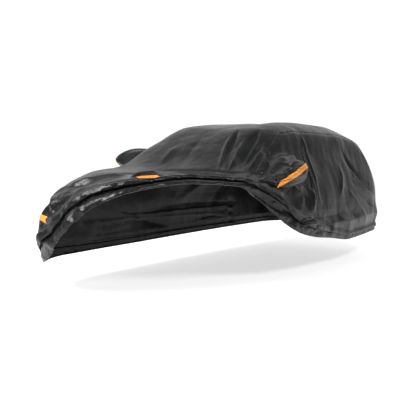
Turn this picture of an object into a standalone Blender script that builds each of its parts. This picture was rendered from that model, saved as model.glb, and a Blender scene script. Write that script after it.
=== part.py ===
"""Fitted car cover, drawn back from its front left corner.

The cloth hangs in the form that it has in use. One form, the skin of a rounded box, is worked out from
belts round the cover. Three cloth panels are cut from it along its seams, and the
pockets, the zip and the reflective strips are set on them. Metres, +Z up, the front faces -Y and +X is
the left side. The origin is the point under the top cloth from which the cover hangs.
"""
import math
from collections import namedtuple

import bmesh
import bpy
import numpy as np

# Driving sizes
CLOTH_THICKNESS = 0.002
SEAM_GAP = 0.0003
POCKET_GAP = 0.0006
STRIP_THICKNESS = 0.001
MIDDLE_Y = 1.36
HANG_Y = 1.60
TOP_HEIGHT = 1.470
HANG_HEIGHT = TOP_HEIGHT - CLOTH_THICKNESS - SEAM_GAP

# Crown of the top: level in the middle, falling to the front, the rear and the sides
CROWN_FRONT_Y = 1.30
CROWN_REAR_Y = 2.05
CROWN_FRONT_DROP = 0.085
CROWN_FRONT_RUN = 0.40
CROWN_REAR_DROP = 0.112
CROWN_REAR_RUN = 0.85
CROWN_REAR_POWER = 2.2
CROWN_SIDE_DROP = 0.100
CROWN_SIDE_POWER = 5.0

# Belts round the cover, from the top seam (level 0) to the hem (level 6). Heights are over the ground
# and y is measured from a line across the cover near its front. Each end is bowed, tapered and rounded
# at its corners.
Belt = namedtuple("Belt", "name half_width y_front y_rear corner_front corner_rear bow_front bow_rear "
                          "taper_front taper_rear z_front z_front_corner z_side z_rear_corner z_rear")
BELTS = (
    Belt("top seam", 0.625, 0.90, 2.90, 0.18, 0.26, 0.10, 0.08, 0.00, 0.02, 0, 0, 0, 0, 0),
    Belt("slope", 0.695, 0.58, 3.11, 0.20, 0.28, 0.12, 0.10, 0.00, 0.03, 1.200, 1.150, 1.170, 1.150, 1.160),
    Belt("waist", 0.780, 0.24, 3.19, 0.22, 0.30, 0.14, 0.10, 0.00, 0.05, 1.000, 0.965, 0.955, 0.950, 0.950),
    Belt("shelf", 0.830, -0.26, 3.21, 0.28, 0.30, 0.16, 0.10, 0.02, 0.07, 0.935, 0.880, 0.790, 0.79, 0.79),
    Belt("nose", 0.850, -0.69, 3.23, 0.34, 0.30, 0.18, 0.10, 0.05, 0.09, 0.775, 0.730, 0.620, 0.63, 0.63),
    Belt("skirt", 0.860, -0.83, 3.25, 0.36, 0.30, 0.20, 0.10, 0.06, 0.10, 0.500, 0.480, 0.440, 0.48, 0.48),
    Belt("hem", 0.850, -0.80, 3.22, 0.36, 0.30, 0.20, 0.10, 0.06, 0.10, 0.215, 0.215, 0.250, 0.285, 0.30),
)
CORNER_POWER = 2.3
HELPER_INSET = 0.12
TAIL_STEP = 0.7
END_POINTS = 24
ROUND_POINTS = 40
SIDE_POINTS = 60
RAY_POINTS = 121

# Places where the cloth stands away from the form
Bulge = namedtuple("Bulge", "name x y z reach push_x push_y push_z")
BULGES = (
    Bulge("right of front slope", -0.55, 0.75, 1.25, 0.30, -0.02, -0.06, 0.065),
    Bulge("right waist", -0.66, 0.45, 1.08, 0.22, -0.01, -0.03, 0.060),
    Bulge("right of shelf", -0.62, -0.08, 0.95, 0.33, -0.02, -0.03, 0.075),
    Bulge("right front corner", -0.66, -0.66, 0.48, 0.28, -0.025, -0.020, 0.000),
)

# The lower edge all round. turn: 0 front centre, 1 front corner, 3 rear corner, 4 rear centre, and
# negative on the right. level is where the edge is drawn up to, band the width of the hem that turns
# under, lip the height of the fold above it.
Edge = namedtuple("Edge", "turn level band lip")
EDGES = (
    Edge(-4.0, 6.00, 0.050, 0.012),
    Edge(-3.0, 6.00, 0.050, 0.012),
    Edge(-2.0, 6.00, 0.050, 0.012),
    Edge(-1.2, 6.00, 0.060, 0.012),
    Edge(-0.8, 5.95, 0.100, 0.014),
    Edge(-0.6, 5.80, 0.140, 0.026),
    Edge(-0.4, 5.47, 0.160, 0.040),
    Edge(-0.2, 4.98, 0.170, 0.045),
    Edge(0.0, 4.52, 0.170, 0.045),
    Edge(0.2, 4.04, 0.150, 0.042),
    Edge(0.4, 3.60, 0.140, 0.038),
    Edge(0.6, 3.08, 0.130, 0.036),
    Edge(0.8, 2.87, 0.110, 0.034),
    Edge(1.0, 2.80, 0.100, 0.032),
    Edge(1.2, 3.06, 0.110, 0.034),
    Edge(1.4, 3.52, 0.120, 0.036),
    Edge(1.6, 4.09, 0.120, 0.036),
    Edge(1.8, 4.84, 0.100, 0.030),
    Edge(2.0, 5.31, 0.075, 0.020),
    Edge(2.2, 5.60, 0.060, 0.014),
    Edge(2.4, 5.94, 0.050, 0.012),
    Edge(3.0, 6.00, 0.050, 0.012),
    Edge(4.0, 6.00, 0.050, 0.012),
)
# Section through the hem, from the flat cloth out to its turned-under end: the distance in from the
# edge in band widths, and the rise off the form in lip heights.
HemRow = namedtuple("HemRow", "name inward rise")
HEM_ROWS = (
    HemRow("foot of lip", 1.95, 0.35),
    HemRow("back of lip", 1.65, 0.90),
    HemRow("top of lip", 1.38, 1.15),
    HemRow("front of lip", 1.15, 0.95),
    HemRow("nose of lip", 1.00, 0.50),
    HemRow("groove", 0.95, 0.02),
    HemRow("inner band", 0.70, 0.45),
    HemRow("top of band", 0.38, 0.62),
    HemRow("outer band", 0.10, 0.40),
    HemRow("edge", 0.00, 0.00),
    HemRow("turned under", 0.14, -0.35),
)
HEM_REACH = 2.35

# Main folds. on: wall lies between (turn, level) ends, edge between (turn, inward) ends along the
# lower edge, top between (x, y) ends. A negative height is a trough.
Fold = namedtuple("Fold", "name on start_a start_b end_a end_b width height")
FOLDS = (
    Fold("slope trough 1", "wall", 0.38, 0.10, 0.64, 1.85, 0.045, -0.030),
    Fold("slope ridge 1", "wall", 0.33, 0.30, 0.58, 1.85, 0.042, 0.022),
    Fold("slope trough 2", "wall", 0.77, 0.10, 0.80, 1.80, 0.045, -0.036),
    Fold("slope ridge 2", "wall", 0.62, 0.60, 0.70, 1.80, 0.040, 0.026),
    Fold("slope ridge 3", "wall", 0.93, 0.80, 0.91, 1.80, 0.040, 0.026),
    Fold("slope far ridge", "wall", -0.36, 1.00, -0.28, 1.85, 0.060, 0.016),
    Fold("slope foot trough", "wall", -0.30, 2.15, 0.95, 1.92, 0.045, -0.032),
    Fold("shelf trough", "wall", -0.40, 3.30, -0.12, 2.70, 0.055, -0.036),
    Fold("shelf ridge", "wall", -0.66, 3.75, -0.30, 3.05, 0.065, 0.028),
    Fold("front pit", "wall", -0.58, 4.25, -0.40, 4.10, 0.055, -0.040),
    Fold("front ridge 1", "wall", -0.80, 4.30, -0.50, 4.05, 0.060, 0.024),
    Fold("front ridge 2", "wall", -0.66, 4.60, -0.46, 5.00, 0.055, 0.032),
    Fold("front trough 2", "wall", -0.56, 4.50, -0.36, 4.90, 0.050, -0.034),
    Fold("pocket root crease", "wall", 1.00, 1.92, 1.14, 2.05, 0.040, -0.036),
    Fold("under pocket crease", "wall", 1.14, 2.10, 1.44, 2.98, 0.042, -0.036),
    Fold("star crease", "wall", 1.06, 0.85, 1.07, 1.45, 0.035, -0.018),
    Fold("edge fold 1", "edge", 1.05, 0.30, 1.75, 0.36, 0.040, -0.034),
    Fold("edge ridge 1", "edge", 1.10, 0.37, 1.80, 0.44, 0.045, 0.030),
    Fold("side ridge 1", "wall", 1.70, 2.90, 1.86, 4.30, 0.050, 0.030),
    Fold("side trough 1", "wall", 1.77, 2.95, 1.90, 4.20, 0.045, -0.024),
    Fold("side ridge 2", "wall", 1.86, 3.10, 1.96, 4.30, 0.050, 0.022),
    Fold("zip ridge", "wall", 1.46, 0.20, 2.12, 4.20, 0.060, 0.018),
    Fold("rear trough 1", "wall", 2.26, 0.65, 2.90, 3.45, 0.075, -0.026),
    Fold("rear ridge 1", "wall", 2.34, 1.60, 2.88, 3.65, 0.070, 0.020),
    Fold("rear trough 2", "wall", 2.36, 2.20, 2.84, 3.95, 0.070, -0.026),
    Fold("rear trough 3", "wall", 2.40, 2.60, 2.78, 5.40, 0.080, -0.026),
    Fold("rear ridge 3", "wall", 2.28, 2.30, 2.50, 4.80, 0.080, 0.018),
    Fold("rear hem hollow", "wall", 2.10, 4.45, 2.24, 5.05, 0.090, -0.024),
    Fold("right trough 1", "wall", -1.50, 0.40, -1.75, 3.20, 0.085, -0.022),
    Fold("right trough 2", "wall", -2.10, 0.60, -1.95, 4.20, 0.095, -0.024),
    Fold("right ridge 2", "wall", -2.35, 1.20, -2.30, 4.80, 0.085, 0.018),
    Fold("right trough 3", "wall", -2.60, 0.80, -2.90, 3.80, 0.085, -0.024),
    Fold("right front trough", "wall", -1.15, 3.30, -1.30, 5.30, 0.075, -0.024),
    Fold("tail trough 1", "wall", 3.30, 0.60, 3.20, 3.80, 0.085, -0.022),
    Fold("tail ridge", "wall", 3.80, 0.80, 3.75, 4.60, 0.095, 0.016),
    Fold("tail trough 2", "wall", -3.45, 0.60, -3.30, 4.20, 0.085, -0.022),
    Fold("top fold 1", "top", 0.28, 0.95, 0.22, 1.75, 0.085, -0.012),
    Fold("top fold 2", "top", -0.25, 1.95, -0.20, 2.75, 0.095, -0.012),
    Fold("top fold 3", "top", 0.33, 2.05, 0.30, 2.80, 0.085, -0.011),
)
FOLD_STEPS = 8
FOLD_FADE = 0.25

# Pockets that stand out of the side panels. side is 1 on the left; the turns and rows give the panel
# cells that they take the place of, and push is how far their middle stands out.
Pocket = namedtuple("Pocket", "name side turn_start turn_end row_start row_end push_x push_y push_z "
                              "square fullness steep wrinkle wrinkles")
POCKETS = (
    Pocket("mirror_pocket_left", 1, 1.07, 1.58, 6, 16, 0.180, 0.015, 0.035, 3.0, 2.2, 0.50, 0.010, 3.0),
    Pocket("mirror_pocket_right", -1, 1.05, 1.30, 3, 6, 0.225, -0.100, 0.080, 2.6, 2.0, 0.50, 0.008, 3.0),
)
POCKET_SPLIT = 2

# Strips sewn on. The grid names the cloth under them, and x, y, z are the middles of their two ends,
# y and z measured as the belts' are. They face a bearing, 0 to the front and 90 to the left, and a tilt
# up from level, in degrees. depth is the room that their curve takes up along that way.
Strip = namedtuple("Strip", "name grid width depth start_x start_y start_z end_x end_y end_z bearing tilt")
STRIPS = (
    Strip("strip_shelf", "top_panel", 0.045, 0.10, 0.107, -0.288, 0.929, 0.163, -0.101, 0.956, 0, 75),
    Strip("strip_front", "top_panel", 0.045, 0.20, -0.450, -0.770, 0.597, -0.735, -0.585, 0.622, -40, 10),
    Strip("strip_pocket_left", "mirror_pocket_left", 0.045, 0.26,
          0.862, 0.567, 0.876, 0.890, 1.014, 1.049, 62, 5),
    Strip("strip_pocket_right", "mirror_pocket_right", 0.045, 0.14,
          -0.893, 0.372, 1.040, -0.965, 0.500, 1.140, -45, 0),
    Strip("strip_tail", "top_panel", 0.045, 0.24, 0.690, 3.000, 0.870, 0.330, 3.120, 0.870, 160, 5),
    Strip("door_zip", "side_panel_left", 0.024, 0.26, 0.635, 1.309, 1.338, 0.879, 1.353, 0.560, 90, 10),
)
STRIP_BEND = 0.3

# Cells of the panels
FORM_ROWS = 15
SIDE_COLUMNS = 34
SIDE_CROWDING = 1.25
FRONT_COLUMNS = 20
FRONT_CROWDING = 0.35

SHARP_ANGLE = 50
SPLIT_WAY = (0.31, 0.57, 0.77)

TURN_STEP = 0.004
ACROSS_STEP = 0.004


def clear_scene():
    """Start from an empty scene."""
    for item in list(bpy.data.objects):
        bpy.data.objects.remove(item, do_unlink=True)


def turned(turn, step):
    """A turn and a step added, kept between -4 and 4."""
    return (turn + step + 4) % 8 - 4


def smooth_between(xs, ys, x):
    """Smooth curve through the points (xs, ys), read at x."""
    place = min(max(int(np.searchsorted(xs, x)) - 1, 0), len(xs) - 2)
    slopes = np.gradient(np.asarray(ys, float), np.asarray(xs, float))
    span = xs[place + 1] - xs[place]
    f = (x - xs[place]) / span
    f = min(max(f, 0.0), 1.0)
    start = (2 * f**3 - 3 * f**2 + 1) * ys[place] + (f**3 - 2 * f**2 + f) * span * slopes[place]
    end = (3 * f**2 - 2 * f**3) * ys[place + 1] + (f**3 - f**2) * span * slopes[place + 1]
    return start + end


def crown_height(x, y):
    """Height of the top cloth over the ground at plan point x, y."""
    front = np.maximum(CROWN_FRONT_Y - y, 0.0) / CROWN_FRONT_RUN
    rear = np.maximum(y - CROWN_REAR_Y, 0.0) / CROWN_REAR_RUN
    side = np.abs(x) / BELTS[0].half_width
    return (TOP_HEIGHT - CROWN_FRONT_DROP * front**2 - CROWN_REAR_DROP * rear**CROWN_REAR_POWER
            - CROWN_SIDE_DROP * side**CROWN_SIDE_POWER)


def belt_end(half_width, length, corner, bow, taper):
    """Quarter outline of a belt from the middle of its end to its side, and its corner's index."""
    flat = [(x, length) for x in np.linspace(0, half_width - corner, END_POINTS)]
    round_part = []
    for angle in np.linspace(0, math.pi / 2, ROUND_POINTS + 1)[1:]:
        round_part.append((half_width - corner + corner * math.sin(angle) ** (2 / CORNER_POWER),
                           length - corner + corner * math.cos(angle) ** (2 / CORNER_POWER)))
    side = [(half_width, y) for y in np.linspace(length - corner, 0, SIDE_POINTS)[1:]]
    outline = np.array(flat + round_part + side)
    share = np.clip(outline[:, 1] / length, 0, 1)
    outline[:, 1] -= bow * (outline[:, 0] / half_width) ** 2 * share**3
    outline[:, 0] *= 1 - taper / half_width * share**2
    return outline, len(flat) + len(round_part) // 2 - 1


def belt_outline(belt, cache={}):
    """Left half outline of a belt, its running length, and the lengths at its two corners."""
    if belt.name not in cache:
        front, front_corner = belt_end(belt.half_width, MIDDLE_Y - belt.y_front, belt.corner_front,
                                       belt.bow_front, belt.taper_front)
        rear, rear_corner = belt_end(belt.half_width, belt.y_rear - MIDDLE_Y, belt.corner_rear,
                                     belt.bow_rear, belt.taper_rear)
        front[:, 1] = MIDDLE_Y - front[:, 1]
        rear[:, 1] = MIDDLE_Y + rear[:, 1]
        outline = np.concatenate([front, rear[::-1][1:]])
        run = np.concatenate([[0], np.cumsum(np.hypot(*np.diff(outline, axis=0).T))])
        cache[belt.name] = (outline, run, run[front_corner], run[len(outline) - 1 - rear_corner])
    return cache[belt.name]


def belt_point(belt, turn):
    """Point of a belt at a turn round the cover."""
    outline, run, front_run, rear_run = belt_outline(belt)
    target = np.interp(abs(turn), [0, 1, 3, 4], [0, front_run, rear_run, run[-1]])
    x = math.copysign(np.interp(target, run, outline[:, 0]), turn)
    y = np.interp(target, run, outline[:, 1])
    if belt is BELTS[0]:
        return np.array([x, y, crown_height(x, y)])
    heights = (belt.z_front_corner, belt.z_front, belt.z_front_corner, belt.z_side,
               belt.z_rear_corner, belt.z_rear, belt.z_rear_corner)
    return np.array([x, y, smooth_between(range(-1, 6), heights, abs(turn))])


def bulged(points):
    """Points of the form, pushed out where the cloth stands away from it."""
    moved = points.copy()
    for bulge in BULGES:
        away = points - np.array([bulge.x, bulge.y, bulge.z])
        share = np.exp(-(away**2).sum(-1) / (2 * bulge.reach**2))
        moved += share[..., None] * np.array([bulge.push_x, bulge.push_y, bulge.push_z])
    return moved


def ray_controls(turn):
    """The belts' points at one turn, with a helper point at each end."""
    points = [belt_point(belt, turn) for belt in BELTS]
    seam = points[0]
    to_middle = np.array([-seam[0], np.clip(seam[1], CROWN_FRONT_Y, CROWN_REAR_Y) - seam[1]])
    inner = seam[:2] + to_middle / np.hypot(*to_middle) * HELPER_INSET
    helper = np.array([inner[0], inner[1], crown_height(inner[0], inner[1])])
    tail = points[-1] + (points[-1] - points[-2]) * TAIL_STEP
    return np.array([helper] + points + [tail])


def along_spline(controls, levels):
    """Smooth curve through the inner control points, read at levels 0 to the last."""
    levels = np.asarray(levels, float)
    place = np.clip(levels.astype(int), 0, len(controls) - 4)
    p = [controls[place + k] for k in range(4)]
    knots = [np.zeros(len(levels))]
    for k in range(3):
        knots.append(knots[-1] + np.sqrt(np.linalg.norm(p[k + 1] - p[k], axis=1)))
    at = knots[1] + (knots[2] - knots[1]) * (levels - place)

    def mix(low, high, first, last):
        share = ((at - knots[first]) / (knots[last] - knots[first]))[:, None]
        return low * (1 - share) + high * share

    a = [mix(p[k], p[k + 1], k, k + 1) for k in range(3)]
    b = [mix(a[k], a[k + 1], k, k + 2) for k in range(2)]
    return mix(b[0], b[1], 1, 2)


def wall_ray(turn, cache={}):
    """Points down the wall at one turn, with their running length from the top seam."""
    key = round(turn, 6)
    if key not in cache:
        levels = np.linspace(0, len(BELTS) - 1, RAY_POINTS)
        points = bulged(along_spline(ray_controls(turn), levels))
        run = np.concatenate([[0], np.cumsum(np.linalg.norm(np.diff(points, axis=0), axis=1))])
        cache[key] = (levels, points, run)
    return cache[key]


def wall_at_run(turn, runs):
    """Points on the wall at given lengths from the top seam."""
    levels, points, run = wall_ray(turn)
    wanted = np.interp(runs, run, levels)
    return bulged(along_spline(ray_controls(turn), wanted))


def wall_at_level(turn, level):
    """Point on the wall at a turn and a level."""
    return bulged(along_spline(ray_controls(turn), [level]))[0]


def edge_values(turn):
    """Length down to the lower edge at a turn, with the hem's band width and lip height."""
    turns = [edge.turn for edge in EDGES]
    level = smooth_between(turns, [edge.level for edge in EDGES], turn)
    band = smooth_between(turns, [edge.band for edge in EDGES], turn)
    lip = smooth_between(turns, [edge.lip for edge in EDGES], turn)
    levels, _, run = wall_ray(turn)
    return np.interp(level, levels, run), band, lip


def wall_column(turn):
    """Form points down one column of a panel, and the hem's rise at each of them."""
    edge_run, band, lip = edge_values(turn)
    form_runs = np.linspace(0, edge_run - HEM_REACH * band, FORM_ROWS + 1)
    hem_runs = [edge_run - row.inward * band for row in HEM_ROWS]
    rises = np.concatenate([np.zeros(FORM_ROWS + 1), [row.rise * lip for row in HEM_ROWS]])
    return wall_at_run(turn, np.concatenate([form_runs, hem_runs])), rises


def along_rows(points):
    """Step from row to row at each point of a column."""
    step = np.empty_like(points)
    step[1:-1] = points[2:] - points[:-2]
    step[0] = points[1] - points[0]
    step[-1] = points[-1] - points[-2]
    return step


def unit(vectors):
    """Vectors at length 1."""
    return vectors / np.linalg.norm(vectors, axis=-1, keepdims=True)


def form_normals(turn, points):
    """Outward normals of the form down one column. Where the hem turns back they keep their way."""
    down = along_rows(points)
    down[-2:] = down[-3]
    side = wall_column(turned(turn, TURN_STEP))[0] - wall_column(turned(turn, -TURN_STEP))[0]
    return unit(np.cross(down, side))


def wall_skin(turn):
    """Outer cloth points down one column, with folds and hem."""
    points, rises = wall_column(turn)
    normals = form_normals(turn, points)
    return points + normals * (rises + fold_rise(points, normals))[:, None]


def wall_cloth(turn):
    """Outer points and outward normals of the cloth down one column."""
    here = wall_skin(turn)
    side = wall_skin(turned(turn, TURN_STEP)) - wall_skin(turned(turn, -TURN_STEP))
    return here, unit(np.cross(along_rows(here), side))


def top_form(across, along):
    """Point of the top, across -1 to 1 and along 0 to 1, front to rear."""
    front = belt_point(BELTS[0], across)
    rear = belt_point(BELTS[0], math.copysign(4 - abs(across), across))
    side = belt_point(BELTS[0], 1 + 2 * along)
    front_corner = belt_point(BELTS[0], 1)
    rear_corner = belt_point(BELTS[0], 3)
    share = (1 - along) * front[0] / front_corner[0] + along * rear[0] / rear_corner[0]
    x = share * side[0]
    y = ((1 - along) * front[1] + along * rear[1] + side[1]
         - (1 - along) * front_corner[1] - along * rear_corner[1])
    return bulged(np.array([x, y, crown_height(x, y)]))


def top_normal(point):
    """Outward normal of the top's form at a point."""
    step = ACROSS_STEP
    x, y = point[0], point[1]
    slope_x = (crown_height(x + step, y) - crown_height(x - step, y)) / (2 * step)
    slope_y = (crown_height(x, y + step) - crown_height(x, y - step)) / (2 * step)
    return unit(np.array([-slope_x, -slope_y, 1.0]))


def fold_path(fold):
    """Points along the middle of a fold."""
    shares = np.linspace(0, 1, FOLD_STEPS)
    firsts = fold.start_a + (fold.end_a - fold.start_a) * shares
    seconds = fold.start_b + (fold.end_b - fold.start_b) * shares
    if fold.on == "top":
        return np.array([[x, y, crown_height(x, y)] for x, y in zip(firsts, seconds)])
    if fold.on == "wall":
        return np.array([wall_at_level(turn, level) for turn, level in zip(firsts, seconds)])
    return np.array([wall_at_run(turn, [edge_values(turn)[0] - inward])[0]
                     for turn, inward in zip(firsts, seconds)])


def fold_rise(points, normals, paths={}):
    """Height of the folds at points of the form, measured along its normals."""
    if not paths:
        paths.update({fold.name: fold_path(fold) for fold in FOLDS})
    rise = np.zeros(len(points))
    for fold in FOLDS:
        path = paths[fold.name]
        nearest = np.full(len(points), np.inf)
        along = np.zeros(len(points))
        for step in range(FOLD_STEPS - 1):
            start = path[step]
            run = path[step + 1] - start
            share = np.clip(((points - start) @ run) / (run @ run), 0, 1)
            away = points - start - share[:, None] * run
            away -= (away * normals).sum(1)[:, None] * normals
            distance = np.linalg.norm(away, axis=1)
            closer = distance < nearest
            nearest = np.where(closer, distance, nearest)
            along = np.where(closer, (step + share) / (FOLD_STEPS - 1), along)
        fade = np.clip(np.minimum(along, 1 - along) / FOLD_FADE, 0, 1)
        rise += fold.height * np.sqrt(fade) * np.exp(-(nearest / fold.width) ** 2)
    return rise


def seam_cloth(turn):
    """Outer point and normal of the cloth on the top seam."""
    points, _ = wall_column(turn)
    normal = unit(form_normals(turn, points)[0] + top_normal(points[0]))
    return points[0] + normal * fold_rise(points[:1], normal[None])[0], normal


def panel_column(turn):
    """Outer points and normals of a panel down one column, with the seam's own at its head."""
    points, normals = wall_cloth(turn)
    points[0], normals[0] = seam_cloth(turn)
    return points, normals


def side_turns(side):
    """Turns of a side panel's columns, crowded towards the front."""
    shares = np.arange(SIDE_COLUMNS + 1) / SIDE_COLUMNS
    return side * (1 + 2 * shares**SIDE_CROWDING)


def front_turns():
    """Turns of the top panel's columns, crowded towards the left, where most folds are."""
    shares = np.arange(FRONT_COLUMNS + 1) / FRONT_COLUMNS
    return -1 + 2 * (shares + FRONT_CROWDING * np.sin(math.pi * shares) / math.pi)


def side_grid(side):
    """Outer points and normals of a side panel, row by row."""
    points, normals = zip(*[panel_column(turn) for turn in side_turns(side)])
    return np.array(points).swapaxes(0, 1), np.array(normals).swapaxes(0, 1)


def top_grid():
    """Outer points and normals of the top panel, from its front hem over the top to its rear hem."""
    across = front_turns()
    alongs = (side_turns(1)[1:-1] - 1) / 2
    points, normals = [], []
    for place in across:
        front = panel_column(place)
        rear = panel_column(math.copysign(4 - abs(place), place))
        middle_points, middle_normals = [], []
        for along in alongs:
            if abs(place) == 1:
                point, normal = seam_cloth(place * (1 + 2 * along))
            else:
                form = top_form(place, along)
                normal = top_normal(form)
                point = form + normal * fold_rise(form[None], normal[None])[0]
            middle_points.append(point)
            middle_normals.append(normal)
        points.append(np.concatenate([front[0][::-1], middle_points, rear[0]]))
        normals.append(np.concatenate([front[1][::-1], middle_normals, rear[1]]))
    return np.array(points).swapaxes(0, 1), np.array(normals).swapaxes(0, 1)


def away_from_line(line, neighbours, length):
    """Moves of the points of a border line towards its neighbours, square to the line."""
    along = unit(np.gradient(line, axis=0))
    ways = neighbours - line
    ways -= (ways * along).sum(-1, keepdims=True) * along
    return unit(ways) * length


def drawn_in(points, gap, rows=(), columns=()):
    """Moves that draw the given border rows and columns in by half a gap."""
    moves = np.zeros_like(points)
    for row, neighbour in rows:
        moves[row] += away_from_line(points[row], points[neighbour], gap / 2)
    for column, neighbour in columns:
        moves[:, column] += away_from_line(points[:, column], points[:, neighbour], gap / 2)
    return moves


def pocket_block(pocket):
    """First and last columns and rows of the panel cells that a pocket takes the place of."""
    turns = np.abs(side_turns(1))
    first_column = int(np.argmin(np.abs(turns - pocket.turn_start)))
    last_column = int(np.argmin(np.abs(turns - pocket.turn_end)))
    return first_column, last_column, pocket.row_start, pocket.row_end


def hole_moves(points, block):
    """Moves that open a panel's hole by half the pocket's gap all round."""
    first_column, last_column, first_row, last_row = block
    moves = np.zeros_like(points)
    rows, columns = slice(first_row, last_row + 1), slice(first_column, last_column + 1)
    for row, way in ((first_row, -1), (last_row, 1)):
        line, outside = points[row, columns], points[row + way, columns]
        moves[row, columns] += away_from_line(line, outside, POCKET_GAP / 2)
    for column, way in ((first_column, -1), (last_column, 1)):
        line, outside = points[rows, column], points[rows, column + way]
        moves[rows, column] += away_from_line(line, outside, POCKET_GAP / 2)
    return moves


def finer(values, split):
    """A grid of values with each cell split, in straight lines between its corners."""
    rows, columns = values.shape[:2]
    fine_rows = np.linspace(0, rows - 1, (rows - 1) * split + 1)
    fine_columns = np.linspace(0, columns - 1, (columns - 1) * split + 1)
    low = np.minimum(fine_rows.astype(int), rows - 2)
    share = (fine_rows - low)[:, None, None]
    across = values[low] * (1 - share) + values[low + 1] * share
    low = np.minimum(fine_columns.astype(int), columns - 2)
    share = (fine_columns - low)[None, :, None]
    return across[:, low] * (1 - share) + across[:, low + 1] * share


def grid_normals(points):
    """Normals of a grid of points, outwards where rows run down and columns run round to the rear."""
    return unit(np.cross(np.gradient(points, axis=0), np.gradient(points, axis=1)))


def pocket_grid(pocket, panel_points, panel_normals):
    """Outer points and normals of a pocket that stands out of its panel."""
    first_column, last_column, first_row, last_row = pocket_block(pocket)
    block = (slice(first_row, last_row + 1), slice(first_column, last_column + 1))
    flat = finer(panel_points[block], POCKET_SPLIT)
    flat_normals = unit(finer(panel_normals[block], POCKET_SPLIT))
    rows, columns = flat.shape[:2]
    a = np.linspace(-1, 1, columns)[None, :]
    b = np.linspace(-1, 1, rows)[:, None]
    radius = (np.abs(a) ** pocket.square + np.abs(b) ** pocket.square) ** (1 / pocket.square)
    stand = np.clip(1 - np.clip(radius, 0, 1) ** pocket.fullness, 0, 1) ** pocket.steep
    push = np.array([pocket.side * pocket.push_x, pocket.push_y, pocket.push_z])
    wrinkle = pocket.wrinkle * np.sin(pocket.wrinkles * math.pi * (a + 0.35 * b)) * stand * (1 - stand) * 4
    points = flat + stand[..., None] * push
    normals = grid_normals(points) * pocket.side
    points += normals * wrinkle[..., None]
    normals = grid_normals(points) * pocket.side
    for edge in (0, -1):
        normals[edge] = flat_normals[edge]
        normals[:, edge] = flat_normals[:, edge]
    return points, normals


def cloth_solid(name, outer, inner, kept):
    """A sheet of cloth as one closed solid between its outer and inner points, of the cells kept."""
    rows, columns = outer.shape[:2]
    mesh = bmesh.new()
    grid = bmesh.ops.create_grid(mesh, x_segments=columns - 1, y_segments=rows - 1, size=1)
    verts = grid["verts"]
    mesh.faces.ensure_lookup_table()
    left_out = [mesh.faces[place] for place in np.flatnonzero(~kept)]
    bmesh.ops.delete(mesh, geom=left_out, context="FACES")
    used = [(vert, place) for place, vert in enumerate(verts) if vert.is_valid]
    bmesh.ops.triangulate(mesh, faces=mesh.faces[:], quad_method="FIXED")
    flat_outer = outer.reshape(-1, 3) - np.array([0, HANG_Y, HANG_HEIGHT])
    flat_inner = inner.reshape(-1, 3) - np.array([0, HANG_Y, HANG_HEIGHT])
    for vert, place in used:
        vert.co = flat_outer[place]
    bmesh.ops.extrude_face_region(mesh, geom=mesh.faces[:])
    for vert, place in used:
        vert.co = flat_inner[place]
    split_walls(mesh, {vert for vert, _ in used})
    return finished_object(name, mesh)


def split_walls(mesh, inner):
    """Split the narrow faces round a sheet's edge, the same way on both sides of a seam."""
    for wall in [face for face in mesh.faces if len(face.verts) == 4]:
        verts = list(wall.verts)
        far = max((vert for vert in verts if vert not in inner), key=lambda vert: vert.co.dot(SPLIT_WAY))
        bmesh.utils.face_split(wall, far, verts[(verts.index(far) + 2) % 4])


def finished_object(name, mesh):
    """An object from a closed mesh, its faces turned outwards, shaded smooth but for its sharp edges."""
    mesh.normal_update()
    bmesh.ops.recalc_face_normals(mesh, faces=mesh.faces[:])
    if mesh.calc_volume(signed=True) < 0:
        bmesh.ops.reverse_faces(mesh, faces=mesh.faces[:])
    data = bpy.data.meshes.new(name)
    mesh.to_mesh(data)
    mesh.free()
    data.shade_smooth()
    data.set_sharp_from_angle(angle=math.radians(SHARP_ANGLE))
    item = bpy.data.objects.new(name, data)
    bpy.context.collection.objects.link(item)
    return item


def finish(name, colour, roughness, metallic=0.0):
    """A plain Principled material."""
    material = bpy.data.materials.new(name)
    material.use_nodes = True
    shader = material.node_tree.nodes["Principled BSDF"]
    shader.inputs["Base Color"].default_value = (*colour, 1)
    shader.inputs["Roughness"].default_value = roughness
    shader.inputs["Metallic"].default_value = metallic
    return material


def panel_solid(name, points, normals, moves, hole=(0, 0, 0, 0)):
    """A panel from its outer points and normals, moved at its borders, with a hole in its cells."""
    first_column, last_column, first_row, last_row = hole
    kept = np.ones((len(points) - 1, points.shape[1] - 1), bool)
    kept[first_row:last_row, first_column:last_column] = False
    return cloth_solid(name, points + moves, points + moves - normals * CLOTH_THICKNESS, kept)


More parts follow.
